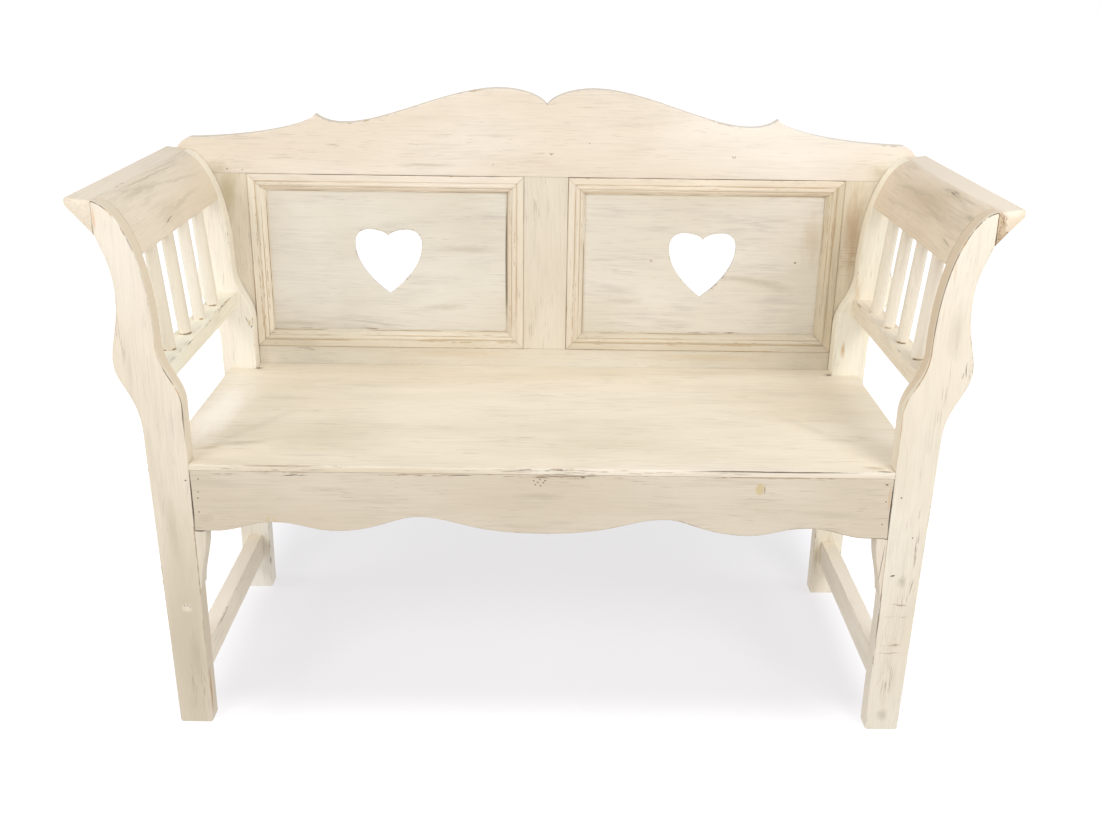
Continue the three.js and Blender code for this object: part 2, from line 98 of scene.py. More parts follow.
# Curves and outlines


def bezier_chain(start: Numbers, curves: Shares, steps: int = 40) -> np.ndarray:
    """Samples joined cubic curves, each (1-t)^3 a + 3(1-t)^2 t b + 3(1-t) t^2 c + t^3 d.

    Args:
        start: The first curve's start.
        curves: Rows of two handles and an end, six numbers each.
        steps: Samples on each curve.

    Returns:
        The points in order, the joints between curves once each.
    """
    rows = np.asarray(curves, float).reshape(-1, 3, 2)
    starts = np.concatenate([[np.asarray(start, float)], rows[:-1, 2]])
    t = np.linspace(0.0, 1.0, steps + 1)[1:, None]
    weights = np.concatenate([(1 - t) ** 3, 3 * (1 - t) ** 2 * t, 3 * (1 - t) * t**2, t**3], axis=1)
    controls = np.concatenate([starts[:, None], rows], axis=1)
    points = np.einsum("tk,ckd->ctd", weights, controls).reshape(-1, 2)
    return np.concatenate([[starts[0]], points])


def evenly(points: np.ndarray, spacing: float = 1.0, loop_count: int = 0) -> np.ndarray:
    """Spreads points evenly along a polyline by its running length.

    Args:
        points: The polyline.
        spacing: About how far apart the new points are, both ends kept.
        loop_count: On a loop instead, how many points there are, its end left out.

    Returns:
        The new points.
    """
    run = np.concatenate([[0.0], np.cumsum(np.linalg.norm(np.diff(points, axis=0), axis=1))])
    count = loop_count or max(2, math.ceil(run[-1] / spacing) + 1)
    places = np.linspace(0.0, run[-1], count, endpoint=not loop_count)
    return np.stack([np.interp(places, run, values) for values in points.T], axis=1)


def wander(count: int, waves: float, rng: np.random.Generator) -> np.ndarray:
    """A closed wandering line from about -1 to 1: a sum of cosines whole numbers of times round.

    Args:
        count: Values round the loop.
        waves: The most waves round the loop.
        rng: The piece's own random draws.

    Returns:
        One value for each place round the loop.
    """
    number = np.arange(1, max(2, int(waves)) + 1)
    phase = rng.uniform(0, 2 * math.pi, number.size)
    strength = rng.normal(0, 1, number.size)
    turn = np.linspace(0, 2 * math.pi, count, endpoint=False)[:, None]
    line = (strength * np.cos(number * turn + phase)).sum(axis=1)
    return line / max(1e-9, np.abs(line).max())


def spots(x: np.ndarray, y: np.ndarray, z: np.ndarray) -> np.ndarray:
    """Points from arrays of their coordinates."""
    return np.stack(np.broadcast_arrays(x, y, z), axis=-1)


@dataclass(frozen=True)
class Edge:
    """One run of an outline, from corner to corner, with how far its arris is rounded and worn.

    The seam is how dark a line of dirt lies along one arris, where another board touches it.
    """

    points: np.ndarray
    soften: float = 1.5
    worn: float = 1.0
    seam: float = 0.0


def straight(*points: Numbers, soften: float = 1.5, worn: float = 1.0) -> Edge:
    """An edge through the given places."""
    return Edge(np.asarray(points, float), soften, worn)


# Surfaces


@dataclass
class Surface:
    """Vertices in millimetres, faces, and the worn and hollow share at each vertex."""

    vertices: np.ndarray
    quads: np.ndarray
    caps: Sequence[np.ndarray] = ()
    worn: Optional[np.ndarray] = None
    hollow: Optional[np.ndarray] = None

    def attribute(self, name: str) -> np.ndarray:
        """One value for each vertex, nothing standing for zero."""
        values = getattr(self, name)
        return np.zeros(len(self.vertices), np.float32) if values is None else values.astype(np.float32)

    def mirrored(self) -> "Surface":
        """The same surface on the other side of the middle."""
        return replace(self, vertices=self.vertices * [-1.0, 1.0, 1.0])


def grid_quads(rows: int, columns: int, closed: bool = False) -> np.ndarray:
    """The faces between loops of vertices, each vertex numbered row times columns plus column.

    Args:
        rows: How many loops.
        columns: Vertices on each loop.
        closed: Whether the last loop joins the first.

    Returns:
        One row of four vertex numbers for each face.
    """
    row = np.arange(rows if closed else rows - 1)[:, None]
    column = np.arange(columns)[None, :]
    here, below, beside = row * columns, (row + 1) % rows * columns, (column + 1) % columns
    corners = [here + column, here + beside, below + beside, below + column]
    return np.stack(np.broadcast_arrays(*corners), axis=-1).reshape(-1, 4)


def lofted(rings: np.ndarray, worn: Optional[np.ndarray] = None,
           hollow: Optional[np.ndarray] = None) -> Surface:
    """Joins loops of vertices one to the next and closes the first and the last.

    Args:
        rings: Vertices by loop, place and axis.
        worn: The worn share by loop and place.
        hollow: The hollow share, the same way.

    Returns:
        The closed surface.
    """
    rows, count = rings.shape[:2]
    caps = (np.arange(count), (rows - 1) * count + np.arange(count)[::-1])
    shares = [
        None if share is None else np.broadcast_to(share, (rows, count)).reshape(-1)
        for share in (worn, hollow)
    ]
    return Surface(rings.reshape(-1, 3), grid_quads(rows, count), caps, *shares)


class Plane(Enum):
    """The plane an outline lies in: where its two directions and its thickness go."""

    XZ = (0, 2, 1)
    XY = (0, 1, 2)
    YZ = (1, 2, 0)

    def place(self, first: np.ndarray, second: np.ndarray, level: np.ndarray) -> np.ndarray:
        """Points from the two directions of the outline and the level across it."""
        return spots(first, second, level)[..., np.argsort(self.value)]


@dataclass(frozen=True)
class Board:
    """A sawn board: an outline given thickness, its arrises rounded, rubbed and here and there chipped.

    The rim is a rounded profile carried round the outline. At each place the profile is moved
    inwards along the mitre of the two edges that meet there, and the two faces close it. The rim's
    wear is that of the arris, of the face beside it and of the side beside it.
    """

    edges: Sequence[Edge]
    low: float
    high: float
    plane: Plane = Plane.XZ
    spacing: float = 4.0
    face_ring: float = 1.6
    face_gap: float = 0.5
    side_gap: float = 0.8
    chip_depth: float = 0.9
    near_seam: bool = False
    seed: int = 1
    corner_reach: float = 24.0
    sharpest_mitre: float = 0.35
    uneven_share: float = 0.28
    points_to_a_wave: float = 9.0
    points_to_a_chip: float = 4.0
    chips_start: float = 0.62
    chips_full: float = 0.3
    most_rounding: float = 0.32
    side_reach: float = 6.0
    most_side_reach: float = 0.42
    rim_wear: Numbers = (0.55, 0.45, 0.3)
    seam_rings: Sequence[int] = (3, 4, 5)

    def inward(self, points: np.ndarray, starts: np.ndarray) -> np.ndarray:
        """Steps that move every edge inwards by one.

        At a corner the step is the mitre (n1 + n2) / (1 + n1 . n2). Beside a corner the points are
        also slid along their run, less and less away from it, so that no ring folds over itself.

        Args:
            points: The outline.
            starts: Where each run starts.

        Returns:
            One step for each point.
        """
        along = np.roll(points, -1, axis=0) - points
        length = np.maximum(np.linalg.norm(along, axis=1), 1e-9)
        along /= length[:, None]
        normal = np.stack([-along[:, 1], along[:, 0]], axis=1)
        before = np.roll(normal, 1, axis=0)
        together = 1 + (normal * before).sum(axis=1, keepdims=True)
        step = (normal + before) / np.maximum(together, self.sharpest_mitre)
        for start, end in zip(starts, [*starts[1:], len(points)]):
            run = np.cumsum(length[start:end])
            place, reach = run - length[start:end], min(self.corner_reach, run[-1] / 2)
            slide = (step[start] @ along[start]) * np.clip(1 - place / reach, 0, 1)
            slide += (step[end % len(points)] @ along[end - 1]) * np.clip(1 - (run[-1] - place) / reach, 0, 1)
            step[start + 1:end] += slide[1:, None] * along[start + 1:end]
        return step

    def profile(self, radius: np.ndarray, depth: np.ndarray) -> tuple[np.ndarray, np.ndarray, np.ndarray]:
        """The rim's section, ring by ring from the high face to the low one.

        At an angle a the arris lies radius (1 - cos a) in and radius (1 - sin a) off its face, and a
        chip cuts it by depth sin 2a. Flat rings lie beside it on the face and on the side. The low
        arris has the high one's chips, a third of the way further round.

        Args:
            radius: How far the arris is rounded at each point of the outline.
            depth: How deep it is chipped there.

        Returns:
            How far in each ring lies, at which level, and how worn it is.
        """
        angle = np.linspace(0, math.pi / 2, 5)[::-1]
        bulge, none = np.sin(2 * angle), np.zeros_like(radius)
        rounded = radius * (1 - np.cos(angle))[:, None]
        inset = np.stack([radius + self.face_ring, radius + self.face_gap, *rounded, none, none])
        rounded = radius * (1 - np.sin(angle))[:, None]
        reach = min(self.side_reach, (self.high - self.low) * self.most_side_reach)
        below = np.stack([none, none, *rounded, radius + self.side_gap, none + reach])
        arris, beside_face, beside_side = self.rim_wear
        worn = np.array([0.0, beside_face, *(arris + (1 - arris) * bulge), beside_side, 0.0])
        chipped = np.array([0.0, 0.0, *bulge, 0.0, 0.0])[:, None]
        low_depth = np.roll(depth, len(depth) // 3)
        return (
            np.concatenate([inset + chipped * depth, (inset + chipped * low_depth)[::-1]]),
            np.concatenate([self.high - below, (self.low + below)[::-1]]),
            np.concatenate([worn, worn[::-1]])[:, None],
        )

    def surface(self) -> Surface:
        """Builds the board.

        Returns:
            The closed surface, with wear highest along its arrises.
        """
        rng = np.random.default_rng(self.seed)
        runs = [evenly(edge.points, self.spacing)[:-1] for edge in self.edges]
        lengths = [len(run) for run in runs]
        points, starts, count = np.concatenate(runs), np.cumsum([0] + lengths[:-1]), sum(lengths)
        finish = np.array([(edge.soften, edge.worn, edge.seam) for edge in self.edges])
        soften, worn, seam = np.repeat(finish, lengths, axis=0).T
        radius = soften * (1 + self.uneven_share * wander(count, count / self.points_to_a_wave, rng))
        radius = np.minimum(radius, (self.high - self.low) * self.most_rounding)
        chips = (wander(count, count / self.points_to_a_chip, rng) - self.chips_start) / self.chips_full
        inset, level, rubbed = self.profile(radius, self.chip_depth * worn * np.clip(chips, 0, 1))
        moved = points[None] + self.inward(points, starts)[None] * inset[..., None]
        dirty = np.isin(np.arange(len(inset)), self.seam_rings)[:, None] * seam
        vertices = self.plane.place(moved[..., 0], moved[..., 1], level)
        return lofted(vertices, rubbed * worn, dirty[::-1] if self.near_seam else dirty)


# How far the arrises at a bar's ends are rounded, and how worn they are.
BAR_END = (0.4, 0.2)


def bar(low: Numbers, high: Numbers, soften: float, worn: float = 1.0, seed: int = 1,
        plane: Plane = Plane.YZ) -> Surface:
    """A straight bar between two corners, rounded along its length and less at its ends.

    Args:
        low: The lowest corner.
        high: The highest corner.
        soften: How far the long arrises are rounded.
        worn: How worn they are.
        seed: Starts the bar's random draws.
        plane: The plane of its outline, the first direction along its length.

    Returns:
        The bar's surface.
    """
    first, second, across = plane.value
    a, b, c, d = low[first], high[first], low[second], high[second]
    corners = [(a, c), (b, c), (b, d), (a, d), (a, c)]
    rounding = [(soften, worn), BAR_END] * 2
    edges = [straight(*corners[n:n + 2], soften=size, worn=rub) for n, (size, rub) in enumerate(rounding)]
    return Board(edges, low[across], high[across], plane, seed=seed).surface()


# Shader graphs


@dataclass(frozen=True)
class Streaks:
    """Noise, with how often it changes along the grain and across it in one unit of its place.

    Where a high limit is given, a smooth step from low to high makes it a mask.
    """

    along: float
    across: float
    detail: float = 2.0
    rough: float = 0.5
    distort: float = 0.0
    low: float = 0.0
    high: float = 0.0


class Graph:
    """Adds nodes to one tree and joins them."""

    def __init__(self, tree: bpy.types.NodeTree) -> None:
        """Keeps the tree that the nodes go into."""
        self.tree = tree

    def node(self, kind: str, inputs: Optional[dict[Any, Value]] = None, **settings: Any) -> bpy.types.Node:
        """Adds a node.

        Args:
            kind: The node's Blender type, without its ShaderNode prefix.
            inputs: Sockets to join or values to set, by input name or number.
            settings: The node's own properties.

        Returns:
            The new node.
        """
        made = self.tree.nodes.new(kind if kind.startswith("Node") else f"ShaderNode{kind}")
        for name, value in settings.items():
            setattr(made, name, value)
        for key, value in (inputs or {}).items():
            self.feed(made.inputs[key], value)
        return made

    def feed(self, socket: Socket, value: Value) -> None:
        """Joins another socket to this one, or sets its value.

        Args:
            socket: The input.
            value: A socket, a number or numbers, three of which also do for a colour.
        """
        if isinstance(value, Socket):
            self.tree.links.new(value, socket)
        elif isinstance(value, (tuple, list)) and socket.type == "RGBA" and len(value) == 3:
            socket.default_value = (*value, 1.0)
        else:
            socket.default_value = value

    def math(self, operation: str, *values: Value) -> Socket:
        """A Math node's result."""
        return self.node("Math", dict(enumerate(values)), operation=operation).outputs[0]

    def times(self, first: Value, second: Value) -> Socket:
        """One value times another."""
        return self.math("MULTIPLY", first, second)

    def vector(self, operation: str, *values: Value) -> Socket:
        """A Vector Math node's vector."""
        return self.node("VectorMath", dict(enumerate(values)), operation=operation).outputs[0]

    def scaled(self, vector: Value, size: Value) -> Socket:
        """A vector times a number."""
        return self.node("VectorMath", {0: vector, 3: size}, operation="SCALE").outputs[0]

    def length(self, vector: Value) -> Socket:
        """How long a vector is."""
        return self.node("VectorMath", {0: vector}, operation="LENGTH").outputs["Value"]

    def span(self, value: Value, low: Value, high: Value, to_low: float = 0.0,
             to_high: float = 1.0) -> Socket:
        """A value moved from one range to another in a smooth step, kept inside the second."""
        numbers = {"Value": value, "From Min": low, "From Max": high, "To Min": to_low, "To Max": to_high}
        return self.node("MapRange", numbers, interpolation_type="SMOOTHSTEP").outputs[0]

    def mix(self, share: Value, first: Value, second: Value) -> Socket:
        """A colour between two colours."""
        return self.node("Mix", {0: share, 6: first, 7: second}, data_type="RGBA").outputs[2]

    def laid(self, colour: Value, mask: Value, share: float, over: Value) -> Socket:
        """A colour with another laid over it where a mask is, at most to a share."""
        return self.mix(self.times(mask, share), colour, over)

    def drawn(self, vector: Value, kind: Streaks) -> Socket:
        """Noise drawn out along the grain.

        Args:
            vector: Coordinates with the grain along X.
            kind: How the noise is drawn out, and its limits as a mask.

        Returns:
            The noise, or the mask.
        """
        place = self.vector("MULTIPLY", vector, (kind.along, kind.across, kind.across))
        numbers = {"Scale": 1.0, "Detail": kind.detail, "Roughness": kind.rough, "Distortion": kind.distort}
        value = self.node("TexNoise", {"Vector": place, **numbers}).outputs[0]
        return self.span(value, kind.low, kind.high) if kind.high else value

    def group(self, name: str, inputs: dict[str, Value]) -> Any:
        """Places a node group with its own values, and gives its outputs."""
        return self.node("Group", inputs, node_tree=bpy.data.node_groups[name]).outputs

    def dress(self, colour: Value, roughness: Value, height: Value, strength: float, relief: float) -> None:
        """Joins a finish to the tree's own shader.

        Args:
            colour: Its colour.
            roughness: Its roughness.
            height: Its height, from 0 to about 1.
            strength: How strong the bump is.
            relief: How high a height of 1 is, in metres.
        """
        shader = self.tree.nodes["Principled BSDF"].inputs
        self.feed(shader["Base Color"], colour)
        self.feed(shader["Roughness"], roughness)
        bump = self.node("Bump", {"Strength": strength, "Distance": relief, "Height": height})
        self.feed(shader["Normal"], bump.outputs[0])


class GroupMaker:
    """Builds the effects that several finishes share, each as a node group made once."""

    SOCKETS = {"f": "NodeSocketFloat", "v": "NodeSocketVector"}

    SWAY = Streaks(2.4, 9.0, 1.0)
    SWAY_REACH = 0.024
    FINE = Streaks(14.0, 420.0, 3.0, 0.65, low=0.28, high=0.72)
    WIDE = Streaks(13.0, 260.0, 3.0, 0.6, low=0.36, high=0.68)
    SMEAR = Streaks(7.0, 26.0, 3.0, 0.55, low=0.40, high=0.66)
    HAIR = Streaks(24.0, 520.0, 2.0, 0.6, low=0.60, high=0.68)
    HAIR_PATCH = Streaks(9.0, 30.0, 2.0, 0.6, low=0.42, high=0.60)
    PORE = Streaks(30.0, 700.0, 1.0, low=0.60, high=0.70)
    PORE_PATCH = Streaks(7.0, 38.0, 2.0, 0.6, low=0.58, high=0.68)
    PATCHED = ((WIDE, SMEAR), (HAIR, HAIR_PATCH), (PORE, PORE_PATCH))
    CLOUD = Streaks(3.0, 9.0, 3.0, 0.5, 0.3, 0.32, 0.68)
    STREAK_RELIEF, BRUSH_RELIEF, PORE_RELIEF = 0.35, 0.4, 0.6

    NIBBLE = Streaks(70.0, 210.0, 3.0, 0.6)
    NIBBLE_PATCH = Streaks(9.0, 40.0, 2.0)
    NIBBLE_SHARE, PATCH_SHARE = 0.55, 0.75
    RUBBED = {"Mask": ((0.735, 0.80), (0.45, 0.85)), "Thin": ((0.60, 0.82), (0.05, 0.9))}

    SLOW_SCALE = 28.0
    RIM = Streaks(2.2, 2.2, 3.0, 0.6)
    RING_INSIDE, RING_OUTSIDE = (0.62, 0.80), (1.08, 0.90)

    DASH = Streaks(44.0, 900.0, 2.0, 0.6, low=0.50, high=0.57)
    DASH_PATCH = Streaks(16.0, 90.0, 2.0, low=0.44, high=0.54)
    SAW = Streaks(560.0, 60.0, 2.0, 0.6, low=0.48, high=0.60)

    def start(self, name: str, inputs: dict[str, str], outputs: Iterable[str]) -> tuple[Graph, Any, Any]:
        """Makes an empty group.

        Args:
            name: The group's name.
            inputs: Socket names with f or v for float or vector.
            outputs: The names of the values it puts out.

        Returns:
            Its graph, its input node's sockets and its output node's sockets.
        """
        tree = bpy.data.node_groups.new(name, "ShaderNodeTree")
        for in_out, sockets in (("INPUT", inputs), ("OUTPUT", dict.fromkeys(outputs, "f"))):
            for socket, kind in sockets.items():
                tree.interface.new_socket(name=socket, in_out=in_out, socket_type=self.SOCKETS[kind])
        graph = Graph(tree)
        return graph, graph.node("NodeGroupInput").outputs, graph.node("NodeGroupOutput").inputs

    def grain(self) -> None:
        """Fibres along X: fine streaks, brushed patches, hair lines, cloudy tone, dark pores and relief."""
        outputs = ("Streak", "Brush", "Hair", "Cloud", "Pore", "Height")
        graph, given, out = self.start("Grain", {"Vector": "v", "Fineness": "f"}, outputs)
        scaled = graph.scaled(given["Vector"], given["Fineness"])
        bend = graph.times(graph.math("SUBTRACT", graph.drawn(scaled, self.SWAY), 0.5), self.SWAY_REACH)
        bent = graph.vector("ADD", scaled, graph.node("CombineXYZ", {1: bend, 2: bend}).outputs[0])
        streak, cloud = graph.drawn(bent, self.FINE), graph.drawn(scaled, self.CLOUD)
        brush, hair, pore = (
            graph.times(graph.drawn(bent, line), graph.drawn(scaled, patch)) for line, patch in self.PATCHED
        )
        raised = graph.times(streak, self.STREAK_RELIEF), graph.times(brush, self.BRUSH_RELIEF)
        height = graph.math("SUBTRACT", graph.math("ADD", *raised), graph.times(pore, self.PORE_RELIEF))
        for name, value in zip(outputs, (streak, brush, hair, cloud, pore, height)):
            graph.feed(out[name], value)

    def rubbed_arris(self) -> None:
        """Paint rubbed off along an arris: the worn share pushed through stretched noise."""
        graph, given, out = self.start("Rubbed arris", {"Vector": "v", "Worn": "f"}, ("Mask", "Thin"))
        nibble = graph.times(graph.drawn(given["Vector"], self.NIBBLE), self.NIBBLE_SHARE)
        patch = graph.times(graph.drawn(given["Vector"], self.NIBBLE_PATCH), self.PATCH_SHARE)
        level = graph.math("ADD", nibble, patch)
        for name, (limits, worn_limits) in self.RUBBED.items():
            share = graph.times(graph.span(level, *limits), graph.span(given["Worn"], *worn_limits))
            graph.feed(out[name], share)

    def spot(self) -> None:
        """One patch: 1 inside an ellipsoid about its centre, 0 outside, its rim ragged.

        The place is first bent by slow noise and turned, so that a thin patch can wander like a crack.
        """
        vectors = dict.fromkeys(("Vector", "Centre", "Radii", "Turn"), "v")
        numbers = dict.fromkeys(("Soft", "Ragged", "Wobble"), "f")
        graph, given, out = self.start("Spot", vectors | numbers, ("Mask", "Ring"))
        numbers = {"Vector": given["Vector"], "Scale": self.SLOW_SCALE, "Detail": 3.0}
        slow = graph.node("TexNoise", numbers).outputs[1]
        bend = graph.scaled(graph.vector("SUBTRACT", slow, (0.5, 0.5, 0.5)), given["Wobble"])
        offset = graph.vector("ADD", graph.vector("SUBTRACT", given["Vector"], given["Centre"]), bend)
        place = {"Vector": offset, "Rotation": given["Turn"]}
        turned = graph.node("VectorRotate", place, rotation_type="EULER_XYZ").outputs[0]
        away = graph.vector("DIVIDE", turned, given["Radii"])
        uneven = graph.times(graph.math("SUBTRACT", graph.drawn(away, self.RIM), 0.5), given["Ragged"])
        reach = graph.math("ADD", graph.length(away), uneven)
        graph.feed(out["Mask"], graph.span(reach, 1.0, graph.math("SUBTRACT", 1.0, given["Soft"])))
        ring = graph.times(graph.span(reach, *self.RING_INSIDE), graph.span(reach, *self.RING_OUTSIDE))
        graph.feed(out["Ring"], ring)

    def broken_lines(self) -> None:
        """Short dark dashes along the grain, and the ticks a saw leaves across it."""
        graph, given, out = self.start("Broken lines", {"Vector": "v"}, ("Dash", "Saw"))
        kinds = (self.DASH, self.DASH_PATCH, self.SAW)
        dash, patch, saw = (graph.drawn(given["Vector"], kind) for kind in kinds)
        graph.feed(out["Dash"], graph.times(dash, patch))
        graph.feed(out["Saw"], saw)

    def make_all(self) -> None:
        """Builds every group."""
        for make in (self.grain, self.rubbed_arris, self.spot, self.broken_lines):
            make()


# Finishes


def from_srgb(red: float, green: float, blue: float) -> Colour:
    """A colour from its 0 to 255 display values: v/12.92 below 0.04045, else ((v+0.055)/1.055)^2.4."""
    value = np.array([red, green, blue]) / 255.0
    return tuple(np.where(value <= 0.04045, value / 12.92, ((value + 0.055) / 1.055) ** 2.4).tolist())


class Grain(Enum):
    """Which way a board's grain runs, as the turn that brings it onto X."""

    ALONG_X = (0.0, 0.0, 0.0)
    ALONG_Y = (0.0, 0.0, -math.pi / 2)
    ALONG_Z = (0.0, math.pi / 2, 0.0)


class MarkKind(Enum):
    """What a mark on one place of a board is. The stain kind also lays painted shade, painted shadows and
    painted highlights.
    """

    STAIN = "stain"
    KNOT = "knot"
    HOLE = "hole"
    DASHES = "dashes"
    SAW_TICKS = "saw ticks"


@dataclass(frozen=True)
class Mark:
    """A mark at one place of a board: its centre and radii in millimetres, its turn in degrees."""

    kind: MarkKind
    centre: Numbers
    radii: Numbers
    colour: Colour
    strength: float
    soft: float
    ragged: float
    turn: Numbers = (0, 0, 0)
    wobble: float = 0.0
    knot_body: float = 0.55
    knot_ring: float = 0.45
    hole_depth: float = 3.0

    def laid_on(self, graph: Graph, place: Value, lines: Any, colour: Value,
                height: Value) -> tuple[Value, Value]:
        """Lays the mark over a colour and a height.

        Args:
            graph: The material's graph.
            place: Object coordinates.
            lines: The broken lines' outputs.
            colour: The colour so far.
            height: The height so far.

        Returns:
            The new colour and height.
        """
        spot = graph.group("Spot", {
            "Vector": place,
            "Centre": tuple(part * MM for part in self.centre),
            "Radii": tuple(part * MM for part in self.radii),
            "Turn": tuple(math.radians(part) for part in self.turn),
            "Soft": self.soft,
            "Ragged": self.ragged,
            "Wobble": self.wobble * MM,
        })
        if self.kind is MarkKind.KNOT:
            colour = graph.laid(colour, spot["Mask"], self.strength * self.knot_body, self.colour)
            return graph.laid(colour, spot["Ring"], self.strength * self.knot_ring, self.colour), height
        share = graph.times(spot["Mask"], self.strength)
        broken = {MarkKind.DASHES: "Dash", MarkKind.SAW_TICKS: "Saw"}.get(self.kind)
        if broken:
            share = graph.times(share, lines[broken])
        if self.kind is MarkKind.HOLE:
            height = graph.math("SUBTRACT", height, graph.times(spot["Mask"], self.hole_depth))
        return graph.mix(share, colour, self.colour), height


def start_finish(name: str, grain: Grain,
                 shift: Numbers) -> tuple[bpy.types.Material, Graph, Socket, Socket]:
    """Makes a plain material and the coordinates that its pattern follows.

    Args:
        name: The material's name.
        grain: Which way the grain runs.
        shift: Moves the pattern, so that no two boards match.

    Returns:
        The material, its graph, Object coordinates, and these turned and moved for the grain.
    """
    material = bpy.data.materials.new(name)
    material.use_nodes = True
    graph = Graph(material.node_tree)
    place = graph.node("TexCoord").outputs["Object"]
    turned = graph.node("Mapping", {"Vector": place, "Rotation": grain.value, "Location": shift}).outputs[0]
    return material, graph, place, turned


@dataclass(frozen=True)
class Whitewash:
    """Worn cream whitewash brushed over pine."""

    light: Colour = from_srgb(245, 236, 219)
    dark: Colour = from_srgb(236, 225, 204)
    grey: Colour = from_srgb(206, 199, 180)
    bare: Colour = from_srgb(164, 134, 98)
    pore: Colour = from_srgb(128, 112, 88)
    grime: Colour = from_srgb(84, 66, 46)
    rust: Colour = from_srgb(196, 148, 92)
    silt: Colour = from_srgb(154, 136, 104)
    grey_share: float = 0.34
    streak_share: float = 0.06
    hair_share: float = 0.26
    pore_share: float = 0.34
    thin_share: float = 0.30
    bare_share: float = 0.72
    quirk_share: float = 0.80
    bare_depth: float = 0.8
    streak_limits: Numbers = (0.75, 0.0)
    silt_limits: Numbers = (0.95, 0.72)
    dirt_limits: Numbers = (0.35, 0.7)
    uneven_limits: Numbers = (0.0, 1.6)
    roughness: float = 0.62
    smoother: float = 0.07
    rougher: float = 0.14
    bump: float = 0.55
    relief: float = 0.00035
    shine: float = 0.32
    most_light: float = 0.95
    shift: Numbers = (1.37, 0.53, 0.71)
    dirt_patch: Streaks = Streaks(6.0, 60.0, 3.0, 0.6, low=0.42, high=0.54)
    rust_patch: Streaks = Streaks(5.0, 90.0, 2.0, low=0.46, high=0.60)

    def toned(self, tone: Colour) -> "Whitewash":
        """The same finish made lighter or darker, channel by channel, for the paint's colour and for painted
        light and shade.
        """
        paint = np.minimum(np.array([self.light, self.dark, self.grey]) * tone, self.most_light).tolist()
        return replace(self, **dict(zip(("light", "dark", "grey"), map(tuple, paint))))

    def material(self, name: str, grain: Grain, seed: float, marks: Iterable[Mark]) -> bpy.types.Material:
        """Builds the finish for one board.

        Args:
            name: The material's name.
            grain: Which way the grain runs.
            seed: Moves the pattern, so that no two boards match.
            marks: Knots, stains, holes, painted shade and painted highlights on this board.

        Returns:
            The material.
        """
        material, graph, place, turned = start_finish(name, grain, tuple(seed * step for step in self.shift))
        fibre = graph.group("Grain", {"Vector": turned, "Fineness": 1.0})
        worn = graph.node("Attribute", attribute_name="worn").outputs["Fac"]
        hollow = graph.node("Attribute", attribute_name="hollow").outputs["Fac"]
        rubbed = graph.group("Rubbed arris", {"Vector": turned, "Worn": worn})
        dirt = graph.mix(graph.drawn(turned, self.rust_patch), self.grime, self.rust)
        dirt = graph.mix(graph.span(hollow, *self.silt_limits), dirt, self.silt)
        sunk = graph.times(graph.span(hollow, *self.dirt_limits), graph.drawn(turned, self.dirt_patch))
        layers = (
            (fibre["Brush"], self.grey_share, self.grey),
            (graph.span(fibre["Streak"], *self.streak_limits), self.streak_share, self.pore),
            (fibre["Hair"], self.hair_share, self.pore),
            (fibre["Pore"], self.pore_share, self.pore),
            (rubbed["Thin"], self.thin_share, self.grey),
            (rubbed["Mask"], self.bare_share, self.bare),
            (sunk, self.quirk_share, dirt),
        )
        colour = graph.mix(fibre["Cloud"], self.dark, self.light)
        for mask, share, over in layers:
            colour = graph.laid(colour, mask, share, over)
        height = graph.math("SUBTRACT", fibre["Height"], graph.times(rubbed["Mask"], self.bare_depth))
        lines = graph.group("Broken lines", {"Vector": turned})
        for mark in marks:
            colour, height = mark.laid_on(graph, place, lines, colour, height)
        uneven = graph.math("ADD", fibre["Brush"], rubbed["Mask"])
        limits = (*self.uneven_limits, self.roughness - self.smoother, self.roughness + self.rougher)
        roughness = graph.span(uneven, *limits)
        graph.dress(colour, roughness, height, self.bump, self.relief)
        material.node_tree.nodes["Principled BSDF"].inputs["Specular IOR Level"].default_value = self.shine
        return material


@dataclass(frozen=True)
class SawnPine:
    """Unpainted sawn pine, for the pieces below the seat."""

    light: Colour = from_srgb(216, 186, 140)
    dark: Colour = from_srgb(182, 143, 96)
    line: Colour = from_srgb(140, 100, 60)
    line_share: float = 0.45
    fineness: float = 0.7
    shift: float = 0.4
    roughness: float = 0.78
    bump: float = 0.5
    relief: float = 0.0006

    def material(self, name: str, grain: Grain, seed: float) -> bpy.types.Material:
        """Builds the finish.

        Args:
            name: The material's name.
            grain: Which way the grain runs.
            seed: Moves the pattern.

        Returns:
            The material.
        """
        material, graph, _, turned = start_finish(name, grain, (seed, seed * self.shift, 0.0))
        fibre = graph.group("Grain", {"Vector": turned, "Fineness": self.fineness})
        colour = graph.mix(fibre["Cloud"], self.dark, self.light)
        colour = graph.laid(colour, fibre["Brush"], self.line_share, self.line)
        graph.dress(colour, self.roughness, fibre["Height"], self.bump, self.relief)
        return material


BROWN = from_srgb(128, 96, 62)
DARK = from_srgb(74, 58, 42)
GREY = from_srgb(176, 166, 144)
OCHRE = from_srgb(206, 166, 108)
UMBER = from_srgb(184, 156, 122)
OLIVE = from_srgb(176, 162, 124)
PALE = from_srgb(240, 228, 210)
# Painted highlight: a colour lighter than the paint, laid where the light falls strongest.
PAINTED_HIGHLIGHT = from_srgb(252, 247, 238)
RUST = from_srgb(206, 150, 104)
SAND = from_srgb(214, 196, 168)
KNOT_OCHRE = from_srgb(204, 184, 138)
SALMON = from_srgb(222, 178, 140)
